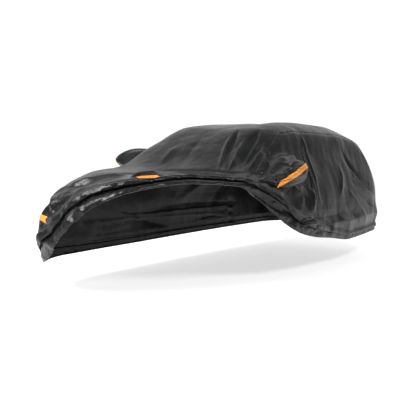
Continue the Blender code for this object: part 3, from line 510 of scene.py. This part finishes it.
def crease_rise(points, normals):
    """Height of the creases at points of the form, measured along its normals."""
    rise = np.zeros(len(points))
    for crease in CREASES:
        path = crease_path(crease)
        reach = crease.width * (1 + abs(crease.lean)) * CREASE_REACH
        near = np.where(((points > path.min(0) - reach) & (points < path.max(0) + reach)).all(1))[0]
        if not len(near):
            continue
        here, up = points[near], normals[near]
        nearest = np.full(len(near), np.inf)
        along = np.zeros(len(near))
        side = np.zeros(len(near))
        for step in range(CREASE_STEPS - 1):
            start = path[step]
            run = path[step + 1] - start
            share = np.clip(((here - start) @ run) / (run @ run), 0, 1)
            away = here - start - share[:, None] * run
            away -= (away * up).sum(1)[:, None] * up
            distance = np.linalg.norm(away, axis=1)
            closer = distance < nearest
            nearest = np.where(closer, distance, nearest)
            along = np.where(closer, (step + share) / (CREASE_STEPS - 1), along)
            side = np.where(closer, np.sign((np.cross(up, run) * away).sum(1)), side)
        fade = soft_step(0, CREASE_FADE, np.minimum(along, 1 - along))
        width = crease.width * (1 - crease.lean * side) * (CREASE_END_WIDTH + (1 - CREASE_END_WIDTH) * fade)
        rise[near] += crease.height * fade * np.exp(-(nearest / width) ** CREASE_SHARPNESS)
    return rise


def noise_field(places, seed):
    """Smooth noise between about -1 and 1 at places."""
    offset = Vector([seed * step for step in SEED_STEP])
    return np.array([noise.noise(Vector(place) + offset) for place in places])


def sharp_field(places, seed):
    """Noise with sharp ridges."""
    return 1 - 2 * np.abs(noise_field(places, seed))


def soft_step(low, high, values):
    """0 below low, 1 above high, smooth between."""
    share = np.clip((values - low) / (high - low), 0, 1)
    return share * share * (3 - 2 * share)


def slack_rise(points):
    """Slack of the cloth."""
    stretched = points * np.array(SLACK_SCALE)
    calm = soft_step(*CALM_HEIGHTS, points[:, 2])
    waves = sum(wave.height * noise_field(stretched * wave.finer, wave.seed) for wave in SLACK_WAVES)
    return (1 - CALM_SHARE * calm) * waves


def heap_share(points):
    """1 in the middle of the crumpled cloth that is heaped at the front, 0 away from it."""
    away = (points - np.array(HEAP_MIDDLE)) / np.array(HEAP_REACH)
    return np.exp(-(away**2).sum(-1))


def heap_rise(points):
    """The crumpled cloth heaped at the front."""
    heap = heap_share(points)
    chosen = np.where(heap > HEAP_LEAST)[0]
    rise = np.zeros(len(points))
    folds = sum(fold.height * sharp_field(points[chosen] * np.array([fold.scale, fold.scale, fold.scale_up]),
                                          fold.seed) for fold in HEAP_FOLDS)
    rise[chosen] = heap[chosen] * (folds - HEAP_SINK)
    return rise


def pleat_rise(around, inward, gather, band):
    """Small pleats across the hem, where its elastic draws the cloth in."""
    mask = soft_step(*PLEAT_START, inward / band) * (1 - soft_step(*PLEAT_END, inward / band))
    chosen = np.where(mask * gather > PLEAT_LEAST)[0]
    rise = np.zeros(len(around))
    flat = np.zeros(len(chosen))
    places = np.stack([around[chosen] * PLEAT_SCALE, inward[chosen] * PLEAT_SCALE_IN, flat], -1)
    coarse, fine = sharp_field(places, PLEAT_SEEDS[0]), sharp_field(places * PLEAT_FINER, PLEAT_SEEDS[1])
    pleats = (coarse + fine) / 2
    rise[chosen] = mask[chosen] * gather[chosen] * pleats
    return rise


def relief(points, normals, seam):
    """Rise of the folds, the slack, the heaped cloth and the drawn-in seams off the form."""
    pinch = PINCH_DEPTH * np.exp(-((seam / PINCH_WIDTH) ** 2))
    pucker = np.exp(-seam / PUCKER_REACH) * PUCKER_HEIGHT * noise_field(points * PUCKER_SCALE, PUCKER_SEED)
    return crease_rise(points, normals) + slack_rise(points) + heap_rise(points) + pucker - pinch


def joined(*parts):
    """Channels of a grid put together: the places, and what the finish reads at each."""
    return np.concatenate([part if part.ndim == 3 else part[..., None] for part in parts], -1)


def seam_loop(last_across, last_along):
    """Rows and columns of the top's border, in the order of the wall's columns."""
    loop = [(0, k) for k in range(last_across)] + [(k, last_across) for k in range(last_along)]
    loop += [(last_along, k) for k in range(last_across, 0, -1)] + [(k, 0) for k in range(last_along, 0, -1)]
    return np.array(loop).T


def wall_seams(wall, runs, borders, sided):
    """Distance to the nearest seam over the wall, and the length along that seam."""
    around = lengths_along(np.concatenate([wall, wall[:, :1]], axis=1), 1)
    whole = around[:, -1:]
    seam, along = np.full(runs.shape, np.inf), runs.copy()
    for border in borders:
        away = np.abs(around[:, :-1] - around[:, border, None])
        seam = np.minimum(seam, np.minimum(away, whole - away))
    over = sided[None, :] & (runs < seam)
    return np.where(over, runs, seam), np.where(over, around[:1, :-1], along), around[:, :-1]


def grid_seams(points, rows=True):
    """Distance to a grid's nearest edge, and the length along that edge."""
    width, length = lengths_along(points, 1), lengths_along(points)
    seam, along = np.minimum(width, width[:, -1:] - width), length
    if rows:
        ends = np.minimum(length, length[-1:] - length)
        along = np.where(ends < seam, width, length)
        seam = np.minimum(seam, ends)
    return seam, along


def wall_and_top():
    """The cloth round the cover, column by column, and over it, with what the finish reads."""
    across, sides = front_turns(), side_turns()
    left_start, left_end = len(across) - 1, len(across) + len(sides) - 2
    rear_end = left_end + len(across) - 1
    ring = np.concatenate([across, sides[1:], (4 - across[::-1])[1:], (8 - sides[::-1])[1:-1]])
    places = np.arange(len(ring))
    sided = ((places > left_start) & (places < left_end)) | (places > rear_end)
    rays = Rays(ring)
    inward, hem_rise = hem_section()
    form_shares = np.arange(FORM_ROWS * FORM_SPLIT)[:, None] / (FORM_ROWS * FORM_SPLIT)
    form_runs = form_shares * (rays.edge - HEM_ROWS[0].inward * rays.band)
    runs = np.concatenate([form_runs, rays.edge - inward[:, None] * rays.band])
    lips = np.concatenate([np.zeros(form_runs.shape), hem_rise[:, None] * rays.lip])
    wall, normals = rays.points(runs), rays.normals(runs)
    top = top_form(across, (sides - 1) / 2)
    top_normals = -grid_normals(top)
    rows, columns = seam_loop(len(across) - 1, len(sides) - 1)
    normals[0] = top_normals[rows, columns] = unit(normals[0] + top_normals[rows, columns])

    seam, along, around = wall_seams(wall, runs, (0, left_start, left_end, rear_end), sided)
    distance = rays.edge - runs
    rise = lips.ravel() + relief(wall.reshape(-1, 3), normals.reshape(-1, 3), seam.ravel())
    rise += pleat_rise(around.ravel(), np.maximum(distance, 0).ravel(),
                       np.repeat(rays.gather[None], len(runs), 0).ravel(),
                       np.repeat(rays.band[None], len(runs), 0).ravel())
    hem_line = distance - HEM_STITCH * rays.band
    # band and crumple mark the crumpled cloth, and also where the finish paints shade: the band under a tall
    # lip and the heap at the front
    band = (1 - soft_step(*BAND_SHARES, distance / rays.band)) * soft_step(*BAND_LIPS, rays.lip)
    crumple = np.maximum(band, heap_share(wall))
    wall = joined(wall + normals * rise.reshape(*runs.shape, 1), seam, along, hem_line, around, crumple)

    seam, along = grid_seams(top, rows=False)
    top_rise = relief(top.reshape(-1, 3), top_normals.reshape(-1, 3), seam.ravel())
    far = np.ones(seam.shape)
    top = joined(top + top_normals * top_rise.reshape(*seam.shape, 1), seam, along, far, far, 0 * far)
    return wall, top, (left_start, left_end, rear_end)


def cloth_grids():
    """Outer points of the panels, row by row, with what the finish reads."""
    wall, top, (left_start, left_end, rear_end) = wall_and_top()
    ring = wall.shape[1]

    def columns_of(first, last):
        return wall[:, np.arange(first, last + 1) % ring]

    front, rear = columns_of(0, left_start), columns_of(left_end, rear_end)
    return {
        "top_panel": np.concatenate([front[::-1], top[1:-1:TOP_THINNING], rear[::REAR_THINNING, ::-1]]),
        "side_panel_left": columns_of(left_start, left_end),
        "side_panel_right": columns_of(rear_end, ring)[:, ::-1],
    }


def pocket_block(pocket):
    """First and last columns and rows of the fine cells that a pocket takes the place of."""
    columns = [int(np.argmin(np.abs(side_turns() - turn))) for turn in pocket.turns]
    rows = [min(row, FORM_ROWS) * FORM_SPLIT + max(row - FORM_ROWS, 0) * HEM_SPLIT for row in pocket.rows]
    return *columns, *rows


def finer(values, split):
    """A grid of values with each cell split, in straight lines between its corners."""
    for axis in (0, 1):
        last = values.shape[axis] - 1
        fine = np.linspace(0, last, last * split + 1)
        low = np.minimum(fine.astype(int), last - 1)
        share = np.expand_dims(fine - low, (1 - axis, 2))
        values = np.take(values, low, axis) * (1 - share) + np.take(values, low + 1, axis) * share
    return values


def pocket_grid(pocket, panel):
    """Outer points of a pocket that stands out of its panel, with what the finish reads."""
    first_column, last_column, first_row, last_row = pocket_block(pocket)
    flat = finer(panel[first_row:last_row + 1, first_column:last_column + 1], POCKET_SPLIT)
    rows, columns = flat.shape[:2]
    a = np.linspace(-1, 1, columns)[None, :]
    b = np.linspace(-1, 1, rows)[:, None]
    radius = (np.abs(a) ** pocket.square + np.abs(b) ** pocket.square) ** (1 / pocket.square)
    steep = pocket.steep + pocket.slack * soft_step(*POCKET_SLACK_SIDE, (a - b) / 2)
    stand = np.clip(1 - np.clip(radius, 0, 1) ** pocket.fullness, 0, 1) ** steep
    wave = np.sin(pocket.wrinkles * math.pi * (a + WRINKLE_SLANT * b))
    wrinkle = pocket.wrinkle * wave * stand * (1 - stand) * 4
    points = flat[..., :3] + stand[..., None] * np.array(pocket.push)
    field = noise_field((points * POCKET_SLACK_SCALE).reshape(-1, 3), POCKET_SLACK_SEED)
    slack = POCKET_SLACK_HEIGHT * field.reshape(rows, columns) * stand
    points += grid_normals(points) * pocket.side * (wrinkle + slack)[..., None]
    seam, along = grid_seams(points)
    return joined(points, seam, along, flat[..., 5:])


# ---------------------------------------------------------------- pieces

def piece(name, mesh):
    """An object from a bmesh, shaded smooth."""
    data = bpy.data.meshes.new(name)
    mesh.to_mesh(data)
    mesh.free()
    data.shade_smooth()
    item = bpy.data.objects.new(name, data)
    bpy.context.collection.objects.link(item)
    return item


def cloth_piece(name, cloth, thickness, hole=(0, 0, 0, 0)):
    """A sheet on a grid of outer points, with a hole in its cells, made solid inwards."""
    rows, columns = cloth.shape[:2]
    mesh = bmesh.new()
    layers = [mesh.verts.layers.float.new(channel) for channel in CHANNELS]
    cloth_map = mesh.loops.layers.uv.new("cloth")
    grid = bmesh.ops.create_grid(mesh, x_segments=columns - 1, y_segments=rows - 1, size=1)
    points = cloth[..., :3] - HANG_PLACE
    width, length = lengths_along(points, 1), lengths_along(points)
    width -= width[:, -1:] / 2
    places = joined(points, width, length).reshape(-1, 5)
    values = cloth[..., 3:].reshape(len(places), -1)
    for vert, place, value in zip(grid["verts"], places, values):
        vert.co = place[:3]
        for layer, number in zip(layers, value):
            vert[layer] = number
    for vert, place in zip(grid["verts"], places):
        for loop in vert.link_loops:
            loop[cloth_map].uv = place[3:]
    mesh.faces.ensure_lookup_table()
    first_column, last_column, first_row, last_row = hole
    cells = [mesh.faces[row * (columns - 1) + column]
             for row in range(first_row, last_row) for column in range(first_column, last_column)]
    bmesh.ops.delete(mesh, geom=cells, context="FACES")
    mesh.normal_update()
    item = piece(name + "_cloth", mesh)
    solid = item.modifiers.new("thickness", "SOLIDIFY")
    solid.thickness = thickness
    solid.offset = -1
    return item


def facing_out(item, way):
    """Turn a sheet's faces so that its middle face looks along a way."""
    mesh = item.data
    total = Vector()
    for polygon in mesh.polygons:
        total += polygon.normal * polygon.area
    if total.dot(way) < 0:
        mesh.flip_normals()


def strip_points(strip, surface):
    """Points of a strip's sheet, laid on a surface: rows along it, columns across it."""
    start, end = Vector(strip.start - HANG_PLACE), Vector(strip.end - HANG_PLACE)
    along = (end - start).normalized()
    bearing, tilt = math.radians(strip.bearing), math.radians(strip.tilt)
    face = Vector((math.sin(bearing), -math.cos(bearing), math.tan(tilt)))
    face = (face - face.dot(along) * along).normalized()
    across = face.cross(along)
    rows = max(int((end - start).length / STRIP_STEP), 2)
    columns = max(int(strip.width / STRIP_STEP), 4)
    places, depths = np.zeros((rows + 1, columns + 1, 3)), np.zeros((rows + 1, columns + 1))
    for row in range(rows + 1):
        for column in range(columns + 1):
            place = start.lerp(end, row / rows) + across * strip.width * (column / columns - 0.5)
            hit = surface.ray_cast(place + face * strip.depth, -face, strip.depth * 2)[0]
            places[row, column] = place
            depths[row, column] = np.nan if hit is None else (hit - place).dot(face)
    depths = np.where(np.isnan(depths), np.nanmedian(depths), depths)
    smooth = depths.copy()
    for _ in range(STRIP_STIFFNESS):
        padded = np.pad(smooth, 1, mode="reflect", reflect_type="odd")
        smooth = (padded[:-2, 1:-1] + padded[2:, 1:-1] + padded[1:-1, :-2] + padded[1:-1, 2:]) / 4
    smooth += min(max((depths - smooth).max(), 0.0), STRIP_SLACK)
    depths = np.maximum(depths, smooth) + STRIP_LIFT
    return places + depths[..., None] * np.array(face), face


def strip_piece(strip, surface):
    """A sewn-on strip, a thin sheet on the cloth."""
    points, face = strip_points(strip, surface)
    item = cloth_piece(strip.name, points + HANG_PLACE, STRIP_THICKNESS)
    facing_out(item, face)
    return item


# ---------------------------------------------------------------- finishes

CLOTH_DARK = (0.0050, 0.0052, 0.0053, 1)
CLOTH_DUSTY = (0.0180, 0.0195, 0.0182, 1)
CLOTH_GRAIN = (0.0035, 0.0036, 0.0037, 1)
# Painted shade: near-black colour laid over the crumpled band and heap, where they lie in shade
CLOTH_PAINTED_SHADE = (0.0012, 0.0012, 0.0013, 1)
CLOTH_THREAD = (0.060, 0.062, 0.060, 1)
TAPE_ORANGE = (0.80, 0.255, 0.006, 1)
TAPE_WORN = (0.66, 0.195, 0.005, 1)
TAPE_LINE = (0.42, 0.120, 0.010, 1)
TAPE_MIDDLE = (0.300, 0.215, 0.140, 1)
TAPE_THREAD = (0.85, 0.36, 0.06, 1)
ZIP_BLACK = (0.0060, 0.0060, 0.0065, 1)
ZIP_WORN = (0.0100, 0.0100, 0.0105, 1)
ZIP_TEETH = (0.0240, 0.0240, 0.0250, 1)
FLOOR_PALE = (0.70, 0.70, 0.705, 1)
FLOOR_GLOW = 0.65

# Distances from the middle line of the tape and of the zip, and how softly they end
TAPE_MIDDLE_HALF = 0.0049
TAPE_LINE_HALF = 0.0066
TAPE_SEWN_HALF = 0.0195
COIL_HALF = 0.0026
EDGE_BLUR = 0.0004
TOOTH_LENGTH = 0.0016
STITCH_INSET = 0.008
STITCH_LENGTH = 0.0045
STITCH_WIDTH = 0.0009
WEAVE_SCALE = 390.0


class Finish:
    """A material, put together from nodes."""

    def __init__(self, name, **constants):
        self.material = bpy.data.materials.new(name)
        self.material.use_nodes = True
        self.tree = self.material.node_tree
        self.shader = self.tree.nodes["Principled BSDF"]
        for socket, value in constants.items():
            self.shader.inputs[socket.replace("_", " ")].default_value = value

    def put(self, socket, value):
        """Set a socket to a number or colour, or link an output to it."""
        if isinstance(value, bpy.types.NodeSocket):
            self.tree.links.new(value, socket)
        else:
            socket.default_value = value

    def add(self, kind, inputs, **settings):
        """A node with its settings and inputs."""
        node = self.tree.nodes.new("ShaderNode" + kind)
        for name, value in settings.items():
            setattr(node, name, value)
        for socket, value in inputs.items():
            self.put(node.inputs[socket], value)
        return node

    def math(self, operation, first, second=0.0):
        """Outcome of a sum on two values."""
        return self.add("Math", {0: first, 1: second}, operation=operation).outputs[0]

    def times(self, first, second):
        """Product of two values."""
        return self.math("MULTIPLY", first, second)

    def minus(self, first, second):
        """Difference of two values."""
        return self.math("SUBTRACT", first, second)

    def ramp(self, value, low, high, start=0.0, end=1.0):
        """A value that goes softly from start at low to end at high."""
        return self.add("MapRange", {"Value": value, "From Min": low, "From Max": high, "To Min": start,
                                     "To Max": end}, interpolation_type="SMOOTHSTEP").outputs[0]

    def mix(self, share, first, second):
        """A blend of two colours."""
        inputs = {"Factor": share, "A": first, "B": second}
        return self.add("Mix", inputs, data_type="RGBA").outputs["Result"]

    def inside(self, value, limit):
        """1 where a value is under a limit, 0 over it."""
        return self.ramp(value, limit - EDGE_BLUR, limit + EDGE_BLUR, 1.0, 0.0)

    def place(self, source, scale=(1, 1, 1)):
        """Object or UV coordinates, scaled."""
        vector = self.add("TexCoord", {}).outputs[source]
        return self.add("Mapping", {"Vector": vector, "Scale": scale}).outputs[0]

    def noise(self, scale, detail=3.0, roughness=0.5, stretch=(1, 1, 1)):
        """Noise at a scale, fixed to the object."""
        return self.add("TexNoise", {"Vector": self.place("Object", stretch), "Scale": scale,
                                     "Detail": detail, "Roughness": roughness}).outputs["Fac"]

    def sharp(self, scale, detail):
        """Noise with sharp troughs."""
        return self.math("ABSOLUTE", self.minus(self.noise(scale, detail), 0.5))

    def bump(self, height, distance, normal=None, strength=1.0):
        """A normal raised by a height."""
        inputs = {"Height": height, "Distance": distance, "Strength": strength}
        if normal is not None:
            inputs["Normal"] = normal
        return self.add("Bump", inputs).outputs[0]

    def waves(self, scale, way):
        """Threads of a weave that lie one way over the flat cloth."""
        return self.add("TexWave", {"Vector": self.place("UV"), "Scale": scale, "Distortion": 0.6,
                                    "Detail": 1.0}, bands_direction=way).outputs["Fac"]

    def weave(self, scale):
        """Height of a plain weave."""
        return self.math("MAXIMUM", self.waves(scale, "X"), self.waves(scale, "Y"))

    def tape_places(self):
        """Distance from the middle line of a tape, and length along it."""
        parts = self.add("SeparateXYZ", {"Vector": self.place("UV")}).outputs
        return self.math("ABSOLUTE", parts["X"]), parts["Y"]

    def reads(self, channel):
        """What a sheet carries at each point."""
        return self.add("Attribute", {}, attribute_name=channel).outputs["Fac"]

    def phase(self, run, length):
        """Distance from the middle of each of the repeats along a run, from 0 to a half."""
        share = self.math("FRACT", self.math("DIVIDE", run, length))
        return self.math("ABSOLUTE", self.minus(share, 0.5))

    def stitches(self, offset, run):
        """1 on the threads of a row of stitches, 0 off them."""
        off = self.math("ABSOLUTE", offset)
        thread = self.ramp(off, STITCH_WIDTH * 0.4, STITCH_WIDTH, 1.0, 0.0)
        return self.times(thread, self.ramp(self.phase(run, STITCH_LENGTH), 0.28, 0.40, 1.0, 0.0))

    def done(self, colour, roughness, normal):
        """Link the outcome to the shader."""
        for socket, value in (("Base Color", colour), ("Roughness", roughness), ("Normal", normal)):
            self.put(self.shader.inputs[socket], value)
        return self.material


def cloth_finish():
    """Dark coated woven cloth, half gloss, with fine creases, stitched seams and a stitched hem, and painted
    shade over the crumpled band and heap.
    """
    made = Finish("cover cloth", Specular_IOR_Level=0.24, Sheen_Weight=0.02, Sheen_Roughness=0.4)
    streaks = made.noise(1.0, 2.5, stretch=(4.0, 4.0, 1.6))
    patches = made.noise(2.3, 5.0, 0.55)
    grain = made.noise(160.0, 2.0, 0.6)
    crumple = made.reads("crumple")
    dust_and_shade = made.times(made.ramp(streaks, 0.42, 0.72), made.ramp(patches, 0.30, 0.65))
    # Painted shade: the crumpled band and heap lose their dust, so they stay dark
    dust_and_shade = made.times(dust_and_shade, made.ramp(crumple, 0.0, 0.5, 1.0, 0.0))
    colour = made.mix(dust_and_shade, CLOTH_DARK, CLOTH_DUSTY)
    colour = made.mix(made.ramp(grain, 0.35, 0.70, 0.0, 0.35), colour, CLOTH_GRAIN)
    # Painted shade: the crumpled band and heap are darkened towards near black
    colour = made.mix(made.ramp(crumple, 0.1, 0.8, 0.0, 0.6), colour, CLOTH_PAINTED_SHADE)

    seam = made.reads("seam")
    thread = made.math("MAXIMUM", made.stitches(made.minus(seam, STITCH_INSET), made.reads("seam_run")),
                       made.stitches(made.reads("hem"), made.reads("hem_run")))
    colour = made.mix(thread, colour, CLOTH_THREAD)

    slack = made.noise(5.0, 2.0, 0.45, (1.0, 1.0, 0.35))
    crease = made.times(made.sharp(5.5, 2.2), made.ramp(crumple, 0.0, 0.6, -0.16, -1.2))
    crinkle = made.times(made.sharp(19.0, 2.0), made.ramp(crumple, 0.0, 0.6, -0.08, -0.25))
    normal = made.bump(slack, 0.018)
    normal = made.bump(crease, 0.042, normal)
    normal = made.bump(crinkle, 0.012, normal)
    normal = made.bump(made.weave(WEAVE_SCALE), 0.00025, normal, 0.22)
    normal = made.bump(thread, 0.0006, normal, 0.8)
    normal = made.bump(made.ramp(seam, 0.0, 0.003), 0.0015, normal, 0.6)

    gloss = made.ramp(patches, 0.25, 0.75, 0.27, 0.41)
    gloss = made.math("ADD", gloss, made.ramp(grain, 0.3, 0.7, -0.03, 0.05))
    gloss = made.math("ADD", gloss, made.ramp(crumple, 0.0, 0.8, 0.0, 0.02))
    return made.done(colour, gloss, normal)


def tape_finish():
    """Orange woven tape with a grey reflective middle, sewn down along both edges."""
    made = Finish("reflective tape", Specular_IOR_Level=0.2, Sheen_Weight=0.02)
    across, along = made.tape_places()
    worn = made.noise(38.0, 4.0, 0.6)
    colour = made.mix(made.ramp(worn, 0.3, 0.7), TAPE_ORANGE, TAPE_WORN)
    middle = made.inside(across, TAPE_MIDDLE_HALF)
    line = made.times(made.minus(1.0, middle), made.inside(across, TAPE_LINE_HALF))
    colour = made.mix(line, colour, TAPE_LINE)
    colour = made.mix(middle, colour, TAPE_MIDDLE)
    thread = made.stitches(made.minus(across, TAPE_SEWN_HALF), along)
    colour = made.mix(thread, colour, TAPE_THREAD)
    normal = made.bump(made.weave(WEAVE_SCALE * 0.7), 0.00030, None, 0.5)
    normal = made.bump(thread, 0.0005, normal, 0.8)
    gloss = made.minus(made.ramp(worn, 0.3, 0.7, 0.46, 0.58), made.times(middle, 0.18))
    return made.done(colour, gloss, normal)


def zip_finish():
    """Black zip tape with fine coil teeth down its middle."""
    made = Finish("zip tape", Specular_IOR_Level=0.5)
    across, along = made.tape_places()
    coil = made.inside(across, COIL_HALF)
    teeth = made.times(coil, made.ramp(made.phase(along, TOOTH_LENGTH), 0.10, 0.35, 1.0, 0.0))
    worn = made.noise(60.0, 3.0)
    colour = made.mix(made.ramp(worn, 0.3, 0.7), ZIP_BLACK, ZIP_WORN)
    colour = made.mix(teeth, colour, ZIP_TEETH)
    normal = made.bump(made.weave(WEAVE_SCALE), 0.00025, None, 0.5)
    normal = made.bump(made.math("ADD", coil, teeth), 0.0006, normal, 0.9)
    gloss = made.minus(made.ramp(worn, 0.3, 0.7, 0.50, 0.62), made.times(coil, 0.2))
    return made.done(colour, gloss, normal)


def floor_finish():
    """Plain pale floor, lit a little of itself so that it looks white."""
    made = Finish("floor", Emission_Color=(1, 1, 1, 1), Emission_Strength=FLOOR_GLOW)
    return made.done(FLOOR_PALE, 0.65, made.bump(made.noise(40.0), 0.0005))


# ---------------------------------------------------------------- studio

CAMERA_PLACE = (3.1654, -3.1084, 1.0375) - HANG_PLACE
CAMERA_AZIMUTH = 39.515
CAMERA_ELEVATION = 4.621
CAMERA_ROLL = 0.2685
CAMERA_FOCUS = 517.41
PHOTO_WIDTH = 416
SENSOR = 36
FLOOR_SIZE = 40

# The surroundings are bright behind the cover and dim elsewhere
BRIGHT_WAY = (-0.62, 0.78, 0.10)
SURROUNDINGS = {"From Min": 0.35, "From Max": 0.85, "To Min": 0.22, "To Max": 1.05}

Light = namedtuple("Light", "name place target size power")
LIGHTS = (
    Light("key", (-1.8, -6.2, 4.6), (0, 0, -0.6), 3.6, 1100),
    Light("side", (5.5, -2.5, 3.6), (0.5, 0, -0.6), 1.2, 260),
)


def make_camera():
    """Camera at the place and angle of the photograph."""
    data = bpy.data.cameras.new("camera")
    data.lens = CAMERA_FOCUS / PHOTO_WIDTH * SENSOR
    data.sensor_width = SENSOR
    camera = bpy.data.objects.new("camera", data)
    bpy.context.collection.objects.link(camera)
    stand = Matrix.Translation(CAMERA_PLACE)
    for angle, axis in ((CAMERA_AZIMUTH, "Z"), (90 - CAMERA_ELEVATION, "X"), (CAMERA_ROLL, "Z")):
        stand = stand @ Matrix.Rotation(math.radians(angle), 4, axis)
    camera.matrix_world = stand
    bpy.context.scene.camera = camera


def make_light(light):
    """A soft area light, turned to its target."""
    data = bpy.data.lights.new(light.name, "AREA")
    data.energy = light.power
    data.size = light.size
    item = bpy.data.objects.new(light.name, data)
    bpy.context.collection.objects.link(item)
    item.location = light.place
    item.rotation_euler = (Vector(light.target) - Vector(light.place)).to_track_quat("-Z", "Y").to_euler()


def make_floor():
    """Floor under the cover, which hangs over it at its height on the car."""
    mesh = bmesh.new()
    bmesh.ops.create_grid(mesh, x_segments=1, y_segments=1, size=FLOOR_SIZE)
    bmesh.ops.translate(mesh, verts=mesh.verts, vec=(0, 0, -HANG_HEIGHT))
    floor = piece("floor", mesh)
    floor.data.materials.append(floor_finish())


def make_surroundings():
    """White surroundings, bright behind the cover."""
    world = bpy.data.worlds.new("studio")
    bpy.context.scene.world = world
    world.use_nodes = True
    nodes, links = world.node_tree.nodes, world.node_tree.links
    towards = nodes.new("ShaderNodeVectorMath")
    towards.operation = "DOT_PRODUCT"
    towards.inputs[1].default_value = BRIGHT_WAY
    links.new(nodes.new("ShaderNodeTexCoord").outputs["Generated"], towards.inputs[0])
    bright = nodes.new("ShaderNodeMapRange")
    for socket, value in SURROUNDINGS.items():
        bright.inputs[socket].default_value = value
    links.new(towards.outputs["Value"], bright.inputs["Value"])
    links.new(bright.outputs["Result"], nodes["Background"].inputs["Strength"])
    nodes["Background"].inputs["Color"].default_value = (1, 1, 1, 1)


def make_studio():
    """Pale floor, white surroundings and soft lights."""
    make_floor()
    make_surroundings()
    for light in LIGHTS:
        make_light(light)
    bpy.context.scene.view_settings.view_transform = "Standard"


# ---------------------------------------------------------------- the cover

# How each cloth piece is cut flat and held: width and length before it was hung, and the cut's area
Sheet = namedtuple("Sheet", "name slot held on width length area")
SHEETS = (
    Sheet("top_panel", "cover_cloth", "draped", (), 1.75, 5.00, 6.70),
    Sheet("side_panel_left", "cover_cloth", "hung", ("top_panel",), 3.40, 1.25, 2.50),
    Sheet("side_panel_right", "cover_cloth", "hung", ("top_panel",), 3.50, 1.35, 3.60),
    Sheet("mirror_pocket_left", "cover_cloth", "stretched", ("side_panel_left",), 0.75, 0.65, 0.35),
    Sheet("mirror_pocket_right", "cover_cloth", "stretched", ("side_panel_right",), 0.60, 0.50, 0.25),
    Sheet("strip_shelf", "reflective_tape", "laid", ("top_panel",), 0.045, 0.198, None),
    Sheet("strip_front", "reflective_tape", "laid", ("top_panel",), 0.045, 0.34, None),
    Sheet("strip_pocket_left", "reflective_tape", "laid", ("mirror_pocket_left",), 0.045, 0.48, None),
    Sheet("strip_pocket_right", "reflective_tape", "laid", ("mirror_pocket_right",), 0.045, 0.18, None),
    Sheet("strip_tail", "reflective_tape", "laid", ("top_panel",), 0.045, 0.38, None),
    Sheet("door_zip", "zip_tape", "laid", ("side_panel_left",), 0.024, 0.82, None),
)
WAY_OUT = {"top_panel": (0, 0, 1), "side_panel_left": (1, 0, 0), "side_panel_right": (-1, 0, 0),
           "mirror_pocket_left": (1, 0, 0), "mirror_pocket_right": (-1, 0, 0)}


def cloth_pieces():
    """The panels and pockets."""
    grids = cloth_grids()
    holes = {}
    for side, pocket in zip(("side_panel_left", "side_panel_right"), POCKETS):
        grids[pocket.name] = pocket_grid(pocket, grids[side])
        holes[side] = pocket_block(pocket)
    made = {}
    for name, points in grids.items():
        made[name] = cloth_piece(name, points, CLOTH_THICKNESS, holes.get(name, (0, 0, 0, 0)))
        facing_out(made[name], Vector(WAY_OUT[name]))
    return made


def build():
    finishes = {"cover_cloth": cloth_finish(), "reflective_tape": tape_finish(), "zip_tape": zip_finish()}
    made = cloth_pieces()
    surface = bmesh.new()
    for item in made.values():
        surface.from_mesh(item.data)
    tree = BVHTree.FromBMesh(surface)
    surface.free()
    for strip in STRIPS:
        made[strip.name] = strip_piece(strip, tree)
    for sheet in SHEETS:
        item = made[sheet.name]
        item.data.materials.append(finishes[sheet.slot])
        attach(item, "root")
        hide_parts(sheet.name)


make_camera()
build()
make_studio()
